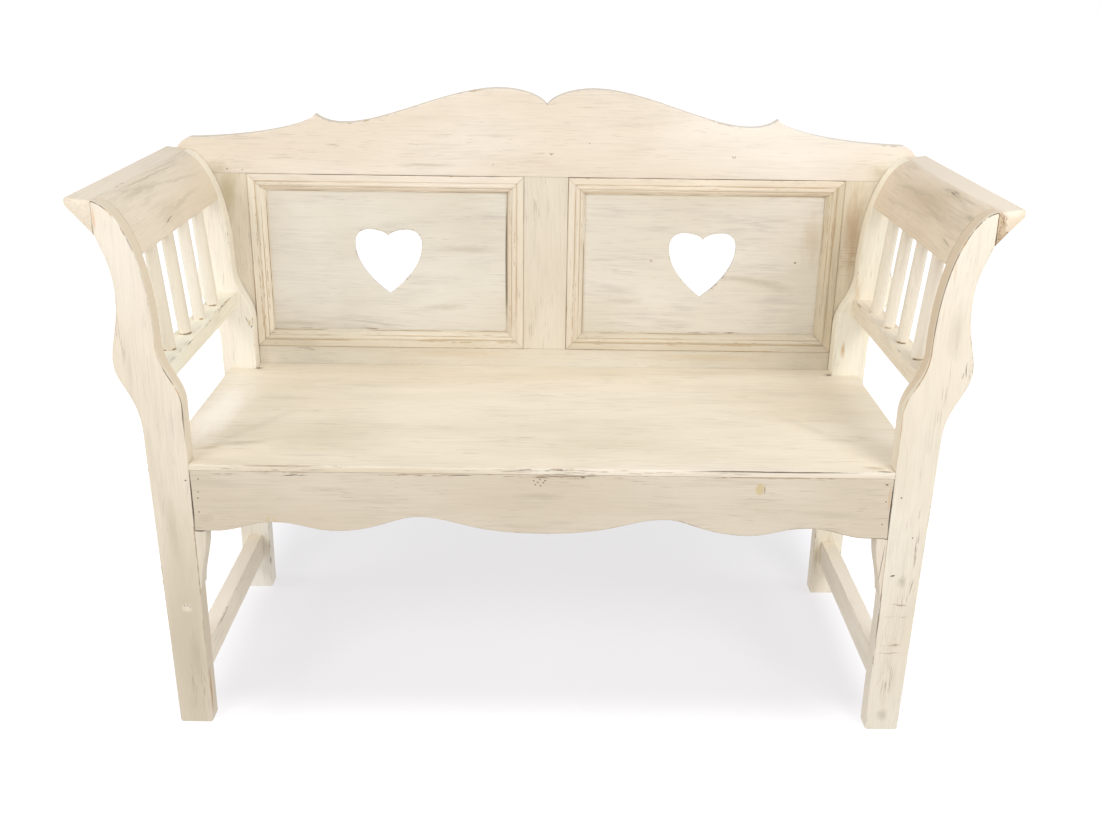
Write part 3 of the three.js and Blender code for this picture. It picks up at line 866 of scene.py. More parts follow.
# Painted shade colours for the front legs: their lower part and their coved side faces.
LOW_LEG_PAINTED_SHADE = from_srgb(202, 188, 164)
COVE_PAINTED_SHADE = from_srgb(222, 207, 182)
WARM_COVE_PAINTED_SHADE = from_srgb(214, 194, 166)
SMOKE = from_srgb(166, 154, 128)
FOOT_BROWN = from_srgb(184, 148, 104)
ARM_BEIGE = from_srgb(186, 164, 134)
PANEL_GREY = from_srgb(212, 202, 188)
STAIN, KNOT, HOLE, DASHES, TICKS = MarkKind

# Each board's tone is partly its paint's own colour and partly painted light and shade: boards are made
# lighter or darker to look as lit as they should, the rear legs, the left arm rail and the stretchers above
# 1.
PAINT_AND_LIGHT_TONES: dict[str, Colour] = {
    "front_leg_left": (0.90, 0.875, 0.85),
    "front_leg_right": (0.945, 0.94, 0.935),
    "front_apron": (0.77, 0.735, 0.70),
    "back_crest_rail": (0.905, 0.885, 0.905),
    "back_bottom_rail": (0.855, 0.865, 0.875),
    "back_centre_stile": (0.85, 0.84, 0.84),
    "back_stile_left": (0.86, 0.85, 0.83),
    "back_stile_right": (0.85, 0.83, 0.79),
    "back_panel_left": (0.845, 0.87, 0.91),
    "back_panel_right": (0.83, 0.845, 0.87),
    "moulding_bottom_right": (0.79, 0.77, 0.735),
    "moulding_bottom_left": (0.86, 0.845, 0.82),
    "moulding_top_left": (0.92, 0.895, 0.905),
    "moulding_top_right": (0.93, 0.895, 0.88),
    "moulding_inner_left": (0.89, 0.875, 0.87),
    "moulding_inner_right": (0.88, 0.865, 0.86),
    "moulding_outer_right": (0.75, 0.71, 0.64),
    "rear_leg_left": (1.05, 1.08, 1.14),
    "rear_leg_right": (1.06, 1.07, 1.07),
    "arm_rail_left": (1.06, 1.11, 1.15),
    "side_stretcher_left": (1.02, 1.02, 1.03),
    "side_stretcher_right": (1.02, 1.02, 1.03),
    "arm_rest_left": (0.90, 0.86, 0.82),
    "arm_rest_right": (0.89, 0.82, 0.76),
    "front_leg_bracket_left": (0.85, 0.83, 0.80),
    "front_leg_bracket_right": (0.88, 0.85, 0.82),
    **{f"arm_spindle_left_{number}": (0.92, 0.935, 0.95) for number in range(1, 5)},
    **{f"arm_spindle_right_{number}": (0.96, 0.97, 0.99) for number in range(1, 5)},
}

# Each row is a mark's kind, centre, radii, colour, strength, softness and raggedness, then where
# they aren't nothing its turn and wobble. Besides stains, knots, holes and lines, some rows are
# painted shade, painted shadows and painted highlights, each said where it stands.
MARKS: dict[str, tuple[MarkRow, ...]] = {
    "front_leg_left": (
        # Painted shade over the lower leg, darker towards the floor.
        (STAIN, (-539, -240, 130), (70, 60, 320), LOW_LEG_PAINTED_SHADE, 0.84, 0.9, 0.3),
        (HOLE, (-519.2, -247, 414.7), (1.4, 3, 1.4), DARK, 0.9, 0.3, 0.2),
        (STAIN, (-536.3, -247, 203), (10, 8, 9), PALE, 0.55, 0.6, 0.7),
        *(
            (HOLE, (x, -247, z), (1.1, 3, 1.1), DARK, 0.8, 0.5, 0.2)
            for x, z in ((-539.4, 207), (-535, 207.2), (-531.5, 205.6))
        ),
        (STAIN, (-512, -241, 55), (4.5, 5.5, 58), FOOT_BROWN, 0.85, 0.5, 0.8),
        (DASHES, (-530, -247, 70), (22, 9, 70), BROWN, 0.35, 0.8, 0.8),
        # Painted highlight on the leg's upper front face.
        (STAIN, (-580, -247, 740), (60, 14, 130), PAINTED_HIGHLIGHT, 0.22, 0.95, 0.3),
        (STAIN, (-607.5, -240, 798), (3.2, 14, 24), SALMON, 0.7, 0.6, 0.5),
        # Painted shade on the leg's coved side faces.
        (STAIN, (-560, -229.2, 740), (120, 17.6, 260), COVE_PAINTED_SHADE, 0.8, 0.3, 0.1),
        (STAIN, (-530, -247, 120), (12, 20, 60), GREY, 0.35, 0.9, 1),
        (STAIN, (-545, -247, 330), (10, 20, 70), GREY, 0.3, 0.9, 1),
        (DASHES, (-592, -247, 640), (10, 9, 60), BROWN, 0.5, 0.7, 0.8),
    ),
    "front_leg_right": (
        (HOLE, (526.1, -247, 400.7), (1.4, 3, 1.4), DARK, 0.9, 0.3, 0.2),
        (HOLE, (550.1, -247, 336), (1.3, 3, 1.3), DARK, 0.8, 0.3, 0.2),
        (HOLE, (527.5, -247, 272.3), (4.2, 4, 1.5), DARK, 0.9, 0.4, 0.6, (0, 12, 0)),
        (STAIN, (543, -247, 262), (9, 9, 15), GREY, 0.55, 0.9, 1),
        (STAIN, (557.5, -247, 254), (0.8, 6, 17), DARK, 0.6, 0.6, 0.5, (0, -8, 0), 2),
        (DASHES, (557, -247, 340), (4, 9, 62), DARK, 0.7, 0.6, 0.8),
        (DASHES, (538, -247, 90), (18, 9, 60), BROWN, 0.4, 0.8, 0.8),
        (TICKS, (540, -247, 223), (21, 9, 2.6), BROWN, 0.55, 0.6, 0.8),
        (TICKS, (540, -247, 202.3), (21, 9, 2.6), BROWN, 0.6, 0.6, 0.8),
        (TICKS, (537, -247, 153.3), (20, 9, 3.6), BROWN, 0.65, 0.6, 0.8),
        (TICKS, (537, -247, 139.1), (20, 9, 2.2), BROWN, 0.6, 0.6, 0.8),
        (STAIN, (538, -247, 27), (12, 12, 15), GREY, 0.45, 0.9, 0.8),
        (STAIN, (514.6, -247, 190), (0.8, 8, 74), DARK, 0.7, 0.6, 1, (0, 0, 0), 2.4),
        (DASHES, (596, -247, 596), (9, 12, 18), BROWN, 0.75, 0.7, 0.8),
        (STAIN, (595, -247, 597), (1.2, 9, 12), DARK, 0.7, 0.7, 0.9, (0, 6, 0), 3),
        (STAIN, (591.5, -247, 590), (1.2, 9, 7), SMOKE, 0.8, 0.7, 0.9, (0, -8, 0), 3),
        (STAIN, (561, -247, 740), (2.4, 9, 20), OCHRE, 0.3, 0.8, 1),
        # Painted shade on the leg's coved side faces.
        (STAIN, (560, -229.2, 740), (120, 17.6, 260), WARM_COVE_PAINTED_SHADE, 0.85, 0.3, 0.1),
        (STAIN, (575, -247, 655), (14, 12, 60), GREY, 0.25, 0.9, 1),
    ),
    "front_leg_bracket_right": (
        (STAIN, (508.5, -247, 292), (0.8, 8, 42), DARK, 0.75, 0.6, 0.8, (0, -3, 0), 2.4),
        (STAIN, (512, -247, 333.4), (4, 12, 1.2), DARK, 0.9, 0.4, 0.3),
    ),
    "front_leg_bracket_left": (
        (STAIN, (-505, -247, 333.4), (9, 12, 1.3), DARK, 0.9, 0.3, 0.3),
    ),
    "front_apron": (
        *(
            (HOLE, (x, -247, z), (1.2, 3, 1.2), DARK, 0.85, 0.3, 0.2)
            for x, z in (
                (-500.8, 417.3), (-502.6, 396.5), (-503.5, 386.9),
                (-504, 364.3), (504.3, 394), (502.4, 357.5),
            )
        ),
        (HOLE, (502.8, -247, 421.2), (3.2, 3, 1.8), BROWN, 0.8, 0.5, 0.6),
        (KNOT, (-494.5, -247, 354.7), (11, 9, 6), BROWN, 0.26, 0.8, 0.4),
        (STAIN, (-403.5, -247, 353), (3.4, 8, 13), KNOT_OCHRE, 0.6, 0.9, 0.8, (0, -18, 0)),
        (STAIN, (-393, -247, 351), (3.4, 8, 11), KNOT_OCHRE, 0.6, 0.9, 0.8, (0, 24, 0)),
        (STAIN, (-398.5, -247, 344), (8, 8, 4), OLIVE, 0.6, 0.9, 0.8),
        *(
            (HOLE, (x, -247, z), (1.5, 3, 1.2), DARK, 0.85, 0.5, 0.3)
            for x, z in ((-12, 421), (-9.5, 414.5), (-6, 418.5), (-3, 423), (-2, 413), (2, 418), (4.5, 421.5))
        ),
        (STAIN, (512.2, -240, 382), (1.5, 14, 52), DARK, 0.95, 0.4, 0.3, (0, 0, 0), 1),
        (STAIN, (508.8, -247, 400), (2.4, 8, 26), RUST, 0.45, 0.8, 0.8),
        (STAIN, (-512.2, -240, 380), (1.3, 14, 54), DARK, 0.95, 0.4, 0.5, (0, 0, 0), 1),
        (HOLE, (59.6, -247, 427), (4, 4, 1.6), BROWN, 0.8, 0.5, 0.6),
        (STAIN, (318.4, -247, 411.5), (8, 9, 12.5), KNOT_OCHRE, 0.8, 0.5, 0.4),
        (STAIN, (325.4, -247, 411), (1.8, 8, 9.5), BROWN, 0.55, 0.8, 0.6),
        (DASHES, (-405, -247, 425.5), (90, 9, 3.2), DARK, 0.9, 0.5, 0.8),
        (STAIN, (-118, -247, 428.4), (22, 9, 0.9), DARK, 0.85, 0.6, 0.8, (0, 0, 0), 1.2),
        (STAIN, (40, -247, 428.6), (60, 9, 0.8), DARK, 0.8, 0.6, 0.9, (0, 0, 0), 1.4),
        (DASHES, (-190, -247, 427.5), (110, 9, 2.2), BROWN, 0.8, 0.5, 0.8),
        (DASHES, (30, -247, 426.5), (120, 9, 3), BROWN, 0.7, 0.5, 0.8),
        (DASHES, (320, -247, 428.5), (180, 9, 1.4), BROWN, 0.6, 0.5, 0.8),
        (STAIN, (0, -247, 396), (50, 20, 8), GREY, 0.35, 0.9, 1.2, (0, 1.5, 0)),
        (STAIN, (-250, -247, 385), (90, 20, 5), GREY, 0.25, 0.9, 1.2),
        (STAIN, (420, -247, 372), (80, 20, 8), GREY, 0.3, 0.9, 1.2, (0, -3, 0)),
    ),
    "seat_board": (
        (STAIN, (-455, -160, 440), (62, 12, 20), GREY, 0.55, 0.9, 1.1, (0, 0, -9)),
        (STAIN, (-500, -180, 440), (26, 8, 20), UMBER, 0.5, 0.9, 1, (0, 0, -16)),
        (STAIN, (-350, -206, 440), (60, 6, 20), GREY, 0.3, 0.9, 1.1),
        (STAIN, (-420, 40, 440), (70, 10, 20), GREY, 0.22, 0.9, 1.1, (0, 0, 4)),
        (STAIN, (460, -120, 440), (60, 10, 20), GREY, 0.22, 0.9, 1.1, (0, 0, 5)),
        *((STAIN, (x, 192, 440), (12, 9, 12), BROWN, 0.45, 0.9, 0.8) for x in (508, -508)),
        *((STAIN, (x, 193, 440), (7, 4.5, 12), DARK, 0.85, 0.6, 0.5) for x in (510, -510)),
        # Painted shadows of the front legs and arms, lying across the seat.
        (STAIN, (-448, -89, 440), (15, 135, 20), GREY, 0.16, 0.9, 0.9, (0, 0, 30.7)),
        (STAIN, (427, -75, 440), (16, 112, 20), GREY, 0.16, 0.9, 0.9, (0, 0, -39.8)),
        # Painted highlight on the seat's left end.
        (STAIN, (-520, -20, 440), (50, 190, 20), PAINTED_HIGHLIGHT, 0.7, 0.9, 0.6),
        # Painted shade over the left part of the seat.
        (STAIN, (-370, -120, 440), (170, 110, 20), GREY, 0.24, 0.95, 0.6),
        (STAIN, (60, -90, 440), (300, 140, 20), GREY, 0.1, 0.95, 0.6),
        (STAIN, (-260, -252, 433), (460, 6.4, 14), SAND, 0.75, 0.3, 0.1),
        (STAIN, (300, -252, 433), (460, 6.4, 14), SAND, 0.35, 0.3, 0.1),
        (STAIN, (-380, -246, 439), (90, 1.6, 2.2), BROWN, 0.55, 0.6, 1.4, (0, 0, 0), 1),
        (STAIN, (335, -246.8, 439.2), (150, 1.3, 1.5), DARK, 0.9, 0.5, 1, (0, 0, 0), 0.8),
        # Painted shade in the seat's corner by the right front leg.
        (STAIN, (500, -243, 440), (15, 2.6, 3), DARK, 0.8, 0.6, 0.6, (0, 0, 5)),
        (STAIN, (488, -230, 440), (24, 8, 6), UMBER, 0.5, 0.9, 0.9, (0, 0, 12)),
        (DASHES, (-400, -247, 434), (110, 9, 3), DARK, 0.75, 0.5, 0.8),
        (DASHES, (0, -247, 437.5), (90, 9, 2.2), DARK, 0.7, 0.5, 0.8),
        (DASHES, (100, -247, 435), (330, 9, 3), BROWN, 0.45, 0.5, 0.8),
    ),
    "back_crest_rail": (
        # Painted highlight over the right part of the crest rail.
        (STAIN, (420, 235, 850), (330, 60, 120), PAINTED_HIGHLIGHT, 0.35, 0.95, 0.3),
        (STAIN, (7.5, 223, 820.4), (1.4, 8, 3.6), DARK, 0.8, 0.7, 0.5, (0, 35, 0), 1),
        (STAIN, (10.5, 223, 821), (1.2, 8, 2.8), BROWN, 0.7, 0.7, 0.5, (0, -35, 0), 1),
        (STAIN, (72.9, 223, 839.1), (2, 8, 1.4), BROWN, 0.6, 0.7, 0.6),
        (STAIN, (-91.2, 223, 801.4), (2.4, 8, 1.4), SMOKE, 0.8, 0.7, 0.6),
        (STAIN, (317.5, 223, 818.5), (1.4, 8, 3.6), SMOKE, 0.9, 0.7, 0.6, (0, 35, 0), 1),
        (STAIN, (321, 223, 818.5), (1.4, 8, 3.2), SMOKE, 0.9, 0.7, 0.6, (0, -35, 0), 1),
        (STAIN, (-199, 223, 799), (70, 12, 4), GREY, 0.4, 0.9, 1.2),
        (STAIN, (-90, 223, 850), (60, 12, 4), GREY, 0.25, 0.9, 1.2),
        (STAIN, (150, 223, 870), (80, 12, 5), GREY, 0.22, 0.9, 1.2, (0, 3, 0)),
        (STAIN, (-20, 223, 806), (60, 12, 3), UMBER, 0.22, 0.9, 1.2),
        # Painted shade in the crest rail's lower corners, beside the arms.
        (STAIN, (-562, 223, 786), (30, 12, 22), OLIVE, 0.4, 0.95, 1, (0, 30, 0)),
        (STAIN, (572, 223, 790), (30, 12, 26), OLIVE, 0.4, 0.95, 1, (0, -30, 0)),
        (HOLE, (-546, 223, 788), (1.6, 3, 1.6), BROWN, 0.7, 0.4, 0.5),
        (HOLE, (-520, 223, 787), (1.3, 3, 1.3), BROWN, 0.7, 0.4, 0.5),
    ),
    "back_panel_left": (
        (STAIN, (-68.9, 235, 627), (1.9, 9, 122), DARK, 0.85, 0.5, 0.5),
        # Painted light across the left panel: a painted highlight at its left, painted shade towards its
        # right.
        (STAIN, (-430, 235, 640), (100, 12, 160), PAINTED_HIGHLIGHT, 0.36, 0.95, 0.4),
        (STAIN, (-130, 235, 660), (90, 12, 150), GREY, 0.1, 0.95, 0.4),
        (STAIN, (-133, 235, 650), (70, 10, 9), GREY, 0.4, 0.9, 1.2),
        (STAIN, (-440, 235, 512), (70, 10, 7), GREY, 0.4, 0.9, 1.2),
        (STAIN, (-180, 235, 545), (60, 10, 9), GREY, 0.35, 0.9, 1.2, (0, 4, 0)),
        (DASHES, (-276, 235, 503.5), (205, 9, 2.6), BROWN, 0.8, 0.5, 0.6),
    ),
    "back_panel_right": (
        (HOLE, (186.4, 235, 634.1), (3.4, 4, 1.8), UMBER, 0.9, 0.6, 0.6),
        (HOLE, (440.6, 235, 633.8), (3, 4, 1.8), BROWN, 0.9, 0.6, 0.6),
        (STAIN, (468, 235, 675), (26, 10, 70), UMBER, 0.35, 0.95, 1.2),
        (STAIN, (354, 235, 602), (70, 10, 8), GREY, 0.45, 0.9, 1.2, (0, -5, 0)),
        (STAIN, (410, 235, 590), (50, 10, 12), GREY, 0.35, 0.9, 1.2, (0, -12, 0)),
        (STAIN, (140, 235, 560), (50, 10, 9), GREY, 0.35, 0.9, 1.2),
        (DASHES, (276, 235, 503.5), (205, 9, 2.6), BROWN, 0.8, 0.5, 0.6),
    ),
    "arm_rail_left": (
        (DASHES, (-541, -20, 578), (5, 200, 5), DARK, 0.8, 0.6, 1),
    ),
    "arm_rail_right": (
        (DASHES, (541, -20, 578), (4, 200, 4), BROWN, 0.25, 0.6, 1),
    ),
    "side_stretcher_left": (
        # Painted highlight on the stretcher's top face.
        (STAIN, (-539, -20, 112), (60, 280, 7), PAINTED_HIGHLIGHT, 0.55, 0.5, 0.1),
        (DASHES, (-526, -60, 105), (4, 120, 5), DARK, 0.7, 0.6, 0.8),
    ),
    "side_stretcher_right": (
        # Painted highlight on the top face, painted shade on the inner face.
        (STAIN, (539, -20, 112), (60, 280, 7), PAINTED_HIGHLIGHT, 0.55, 0.5, 0.1),
        (STAIN, (526, -20, 80), (5, 280, 40), SMOKE, 0.08, 0.5, 0.4),
    ),
    "rear_leg_right": (
        (STAIN, (530, 193, 487), (5, 12, 20), OCHRE, 0.7, 0.9, 1),
        # Painted shadow of the stretcher on the rear leg.
        (STAIN, (518, 193, 75), (9, 12, 55), SMOKE, 0.35, 0.9, 0.8),
        (STAIN, (545, 193, 590), (8, 12, 40), OCHRE, 0.35, 0.9, 1),
    ),
    "rear_leg_left": (
        (STAIN, (-520, 193, 523), (4.5, 12, 9), KNOT_OCHRE, 0.6, 0.8, 0.5),
        # Painted shadow of the stretcher on the rear leg.
        (STAIN, (-518, 193, 80), (10, 12, 45), SMOKE, 0.28, 0.95, 0.8),
        (STAIN, (-514.5, 193, 55), (1.4, 12, 11), DARK, 0.6, 0.7, 0.9, (0, 0, 0), 1),
        (STAIN, (-524.5, 193, 530), (1, 12, 7), DARK, 0.75, 0.7, 0.6, (0, 20, 0), 1),
        (STAIN, (-516.5, 193, 517), (1.2, 12, 5), DARK, 0.75, 0.7, 0.6, (0, -30, 0), 1),
    ),
    "back_stile_right": (
        (TICKS, (533, 223, 645), (22, 12, 60), BROWN, 0.35, 0.8, 1),
        (STAIN, (533, 223, 690), (24, 12, 110), UMBER, 0.72, 0.95, 1),
    ),
    "back_stile_left": (
        # Painted shade on the stile below the crest, behind the left arm.
        (STAIN, (-548, 223, 745), (22, 12, 70), OLIVE, 0.55, 0.95, 1, (0, -10, 0)),
    ),
    "back_bottom_rail": (
        (DASHES, (-440, 223, 468), (70, 12, 5), DARK, 0.8, 0.5, 0.8),
        (STAIN, (-150, 223, 462), (150, 12, 12), OCHRE, 0.2, 0.9, 1),
        (STAIN, (300, 223, 460), (150, 12, 9), OCHRE, 0.22, 0.9, 1),
    ),
    "arm_rest_left": (
        # Painted highlight along the top of the arm.
        (STAIN, (-628, -20, 826), (27, 300, 22), PALE, 0.6, 0.5, 0.3),
        (STAIN, (-562, -68, 761), (2.4, 22, 1.2), DARK, 0.65, 0.7, 1, (-6, 0, 0), 3),
        (STAIN, (-599, -20, 818), (1.8, 175, 6), SMOKE, 0.45, 0.7, 1.2, (0, 0, 1.3), 5),
        (STAIN, (-588, -80, 810), (18, 120, 5), GREY, 0.36, 0.95, 1.4, (3, 0, 0), 8),
        (STAIN, (-580, 60, 799), (18, 130, 4), GREY, 0.34, 0.95, 1.4, (4, 0, 0), 8),
        (STAIN, (-566, 30, 773), (18, 120, 5), GREY, 0.3, 0.95, 1.4, (-3, 0, 0), 8),
    ),
    "arm_rest_right": (
        (STAIN, (582, -20, 795), (36, 240, 36), ARM_BEIGE, 0.48, 0.95, 0.6),
        # Painted highlight along the top of the arm.
        (STAIN, (629, -20, 826), (25, 330, 22), PALE, 0.85, 0.35, 0.35),
        (STAIN, (580, 45, 799), (16, 110, 5), GREY, 0.45, 0.95, 1.4, (4, 0, 0), 8),
        (STAIN, (573, -92, 787), (16, 80, 4), SMOKE, 0.28, 0.95, 1.4, (-4, 0, 0), 8),
        (STAIN, (566, 60, 772), (16, 120, 6), SMOKE, 0.22, 0.95, 1.4, (2, 0, 0), 8),
        (STAIN, (598, -95, 816), (8, 75, 6), SMOKE, 0.5, 0.95, 1.2, (0, 0, 3), 6),
        (STAIN, (601, -150, 818), (4, 60, 5), SMOKE, 0.45, 0.95, 1.2, (0, 0, -2), 5),
        (STAIN, (585, -205, 805), (6, 26, 7), SMOKE, 0.6, 0.95, 1.1, (10, 0, 0), 5),
        (STAIN, (564, -185, 767), (4, 30, 2.4), SMOKE, 0.75, 0.9, 1.2, (-8, 0, 0), 5),
        (DASHES, (598, -90, 818), (12, 60, 10), DARK, 0.55, 0.8, 1.2),
        (STAIN, (612, -247, 797), (12, 5, 26), UMBER, 0.62, 0.3, 0.3),
        (DASHES, (613, -247, 797), (14, 5, 28), BROWN, 1, 0.2, 0.3),
        (STAIN, (610.3, -247, 797), (0.9, 5, 26), DARK, 0.8, 0.5, 0.6),
        (STAIN, (582, -190, 800), (36, 60, 40), SMOKE, 0.16, 0.95, 0.6),
    ),
}


# Pieces


class Slot(Enum):
    """The record's slots for the dressed pieces, passed along with them."""

    PAINTED = "painted_pine"
    PANEL = "panel_pine"


class Side(Enum):
    """Which end of the bench."""

    LEFT = "left"
    RIGHT = "right"

    @property
    def step(self) -> int:
        """Moves the draws and patterns on the left, so that the two ends differ."""
        return int(self is Side.LEFT)

    def named(self, name: str) -> str:
        """The name of this side's piece."""
        return f"{name}_{self.value}"

    def turn(self, surface: Surface) -> Surface:
        """A surface worked out for the right, brought to this side."""
        return surface if self is Side.RIGHT else surface.mirrored()


def add_piece(name: str, surface: Surface, material: bpy.types.Material, slot: Slot, *nodes: str,
              crease: float) -> None:
    """Puts a surface into the scene as one piece of the bench.

    Args:
        name: The piece's name.
        surface: Its surface.
        material: Its finish.
        slot: Not used.
        nodes: The CAD nodes it stands for.
        crease: Faces that meet at more than this many degrees keep a sharp line.
    """
    mesh = bpy.data.meshes.new(name)
    faces = surface.quads.tolist() + [cap.tolist() for cap in surface.caps]
    mesh.from_pydata((surface.vertices * MM).tolist(), [], faces)
    for attribute in ("worn", "hollow"):
        layer = mesh.attributes.new(attribute, "FLOAT", "POINT")
        layer.data.foreach_set("value", surface.attribute(attribute))
    shell = bmesh.new()
    shell.from_mesh(mesh)
    bmesh.ops.remove_doubles(shell, verts=shell.verts, dist=SAME_PLACE)
    bmesh.ops.recalc_face_normals(shell, faces=shell.faces)
    shell.to_mesh(mesh)
    shell.free()
    mesh.polygons.foreach_set("use_smooth", np.ones(len(mesh.polygons), bool))
    mesh.set_sharp_from_angle(angle=math.radians(crease))
    mesh.materials.append(material)
    piece = bpy.data.objects.new(name, mesh)
    bpy.context.scene.collection.objects.link(piece)
    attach(piece, ROOT)
    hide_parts(*nodes)
    LOG.info("%s: %d faces, stands for %s", name, len(mesh.polygons), ", ".join(nodes))


def dress_node(node: str, material: bpy.types.Material) -> None:
    """Gives a CAD node that is kept a better material.

    Args:
        node: The node.
        material: Its finish.
    """
    for material_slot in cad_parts[node].material_slots:
        material_slot.material = material
    LOG.info("%s: kept, dressed in %s", node, material.name)


@dataclass
class PaintShop:
    """Coats every painted board, each with its own tone, pattern and marks, where tones and some marks hold
    painted light and shade.
    """

    base: Whitewash = Whitewash()
    default_tone: Colour = (0.96, 0.95, 0.94)

    def finish(self, node: str, form: str, surface: Surface, grain: Grain, seed: float,
               slot: Slot = Slot.PAINTED, crease: float = 35.0, **changes: Any) -> None:
        """Coats one board and puts it into the scene.

        Args:
            node: The CAD node it stands for, whose tone and marks it takes.
            form: The last word of the piece's name.
            surface: Its surface.
            grain: Which way the grain runs.
            seed: Moves the pattern.
            slot: The record's slot for the piece, passed to add_piece.
            crease: Faces that meet at more than this many degrees keep a sharp line.
            changes: Values of the finish that differ on this board.
        """
        coat = replace(self.base, **changes).toned(PAINT_AND_LIGHT_TONES.get(node, self.default_tone))
        marks = [Mark(*row) for row in MARKS.get(node, ())]
        material = coat.material(f"whitewash_{node}", grain, seed, marks)
        add_piece(f"{node}_{form}", surface, material, slot, node, crease=crease)


# Ends of the bench


@dataclass
class EndFrame:
    """One end: two S-shaped legs, stretcher, arm rail, rolled arm rest and its spindles.

    The low corners of the arm rest's section are given from its lowest inner place, and the tip's
    corners from its tip. The wear's reach is that round the tip, the lowest place and the cove's top.
    """

    side: Side
    shop: PaintShop
    leg_seed: int = 11
    leg_pattern: float = 0.61
    bar_seed: int = 31
    bar_pattern: float = 0.47
    arm_pattern: float = 5.3
    spindle_seed: int = 70
    foot_width: float = 51.0
    foot_chamfer: float = 3.0
    taper_top: Numbers = (0.453, 0.126)
    outer_shares: Shares = (
        (0.453, 0.27, 0.694, 0.32, 0.694, 0.403),
        (0.694, 0.482, 0.589, 0.534, 0.589, 0.665),
        (0.589, 0.771, 0.679, 0.813, 0.728, 0.877),
    )
    cove_start: Numbers = (0.728, 1.0)
    cove_shares: Shares = ((0.465, 0.982, 0.223, 0.794, 0.223, 0.484),)
    knee_shares: Shares = ((0.223, 0.354, 0.0, 0.334, 0.0, 0.225),)
    rail_low: Numbers = (541.0, -216.7, 550.05)
    rail_high: Numbers = (577.0, 192.7, 579.05)
    stretcher_low: Numbers = (526.0, -216.7, 62.0)
    stretcher_high: Numbers = (552.0, 192.7, 109.0)
    bar_rounding: float = 1.8
    top_cut_low: float = 775.014
    arm_low: float = 741.78
    arm_tip: float = 646.0
    arm_tip_rise: float = 4.0
    low_corners: Shares = ((2.2, 0.0), (31.0, 0.0), (34.4, 1.6))
    tip_corners: Shares = ((-1.6, -11.4), (0.0, -8.8), (0.0, -2.2), (-0.7, -0.6), (-2.6, -0.3))
    last_corner: Numbers = (0.5, 1.2)
    section_spacing: float = 3.0
    tip_wear_drop: float = 5.0
    wear_reach: Numbers = (5.0, 6.0, 5.0)
    arm_end_steps: Numbers = (0.0, 0.5, 1.4, 5.0)
    arm_end_drawn_in: Numbers = (1.4, 0.5)
    arm_end_wear: float = 0.3
    arm_stations: int = 90
    smallest_face: float = 0.002
    spindle_places: Numbers = (-135.0, -53.0, 29.0, 111.0)
    spindle_foot_x: float = 559.0
    spindle_head_x: float = 573.0
    spindle_radius: float = 10.0
    spindle_swell: float = 0.25
    spindle_slimmer: float = 0.35
    spindle_uneven: float = 0.12
    spindle_ripple: float = 31.0
    spindle_sides: int = 36
    spindle_rings: int = 22
    foot_steps: Numbers = (-9.0, -1.0, -0.2, 0.6, 2.0)
    clear_of_ends: Numbers = (6.0, 8.0)
    head_steps: Numbers = (-2.0, 9.0)
    foot_dirt: float = 0.3
    foot_dirt_reach: float = 2.6

    def cove(self, steps: int = 60) -> np.ndarray:
        """The coved edge from the arm's top down to the hip."""
        return SIZES.leg_place(bezier_chain(self.cove_start, self.cove_shares, steps))

    def leg_edges(self, seam: float) -> list[Edge]:
        """Works out the leg's outline: straight and tapered below the seat, S-shaped above it.

        Args:
            seam: How dark the line of dirt along its cove is.

        Returns:
            The edges of the right-hand leg in X and Z.
        """
        inner, chamfer = SIZES.leg_inner, self.foot_chamfer
        foot = inner + self.foot_width
        outer = SIZES.leg_place(bezier_chain(self.taper_top, self.outer_shares))
        cove = self.cove()
        knee = SIZES.leg_place(bezier_chain(self.cove_shares[-1][4:], self.knee_shares))
        return [
            straight((inner + chamfer, 0), (foot - chamfer, 0), soften=0.8, worn=0.6),
            straight((foot - chamfer, 0), (foot, chamfer), soften=0.9),
            Edge(np.concatenate([[(foot, chamfer)], outer]), 2.0),
            straight(outer[-1], cove[0], soften=0.5, worn=0.4),
            Edge(np.concatenate([cove, knee[1:], [(inner, SIZES.seat_top)]]), 1.6, seam=seam),
            straight((inner, SIZES.seat_top), (inner, chamfer), soften=1.6),
            straight((inner, chamfer), (inner + chamfer, 0), soften=0.9),
        ]

    def make_legs(self) -> None:
        """Builds the front and the rear leg."""
        legs = (
            ("front_leg", SIZES.front, SIZES.front_leg_back, 1.0, 0.18),
            ("rear_leg", SIZES.rear_leg_front, SIZES.frame_face, 0.7, 0.22),
        )
        for number, (name, low, high, seam, hairs) in enumerate(legs):
            seed = self.leg_seed + number * 2 + self.side.step
            board = Board(self.leg_edges(seam), low, high, near_seam=name == "front_leg", seed=seed)
            surface = self.side.turn(board.surface())
            self.shop.finish(self.side.named(name), "board", surface, Grain.ALONG_Z,
                             seed * self.leg_pattern, hair_share=hairs)

    def make_bars(self) -> None:
        """Builds the low stretcher and the arm rail."""
        bars = (
            ("side_stretcher", self.stretcher_low, self.stretcher_high),
            ("arm_rail", self.rail_low, self.rail_high),
        )
        for number, (name, low, high) in enumerate(bars):
            seed = self.bar_seed + number * 2 + self.side.step
            surface = self.side.turn(bar(low, high, self.bar_rounding, seed=seed))
            self.shop.finish(self.side.named(name), "bar", surface, Grain.ALONG_Y,
                             seed * self.bar_pattern, hair_share=0.16, pore_share=0.22)

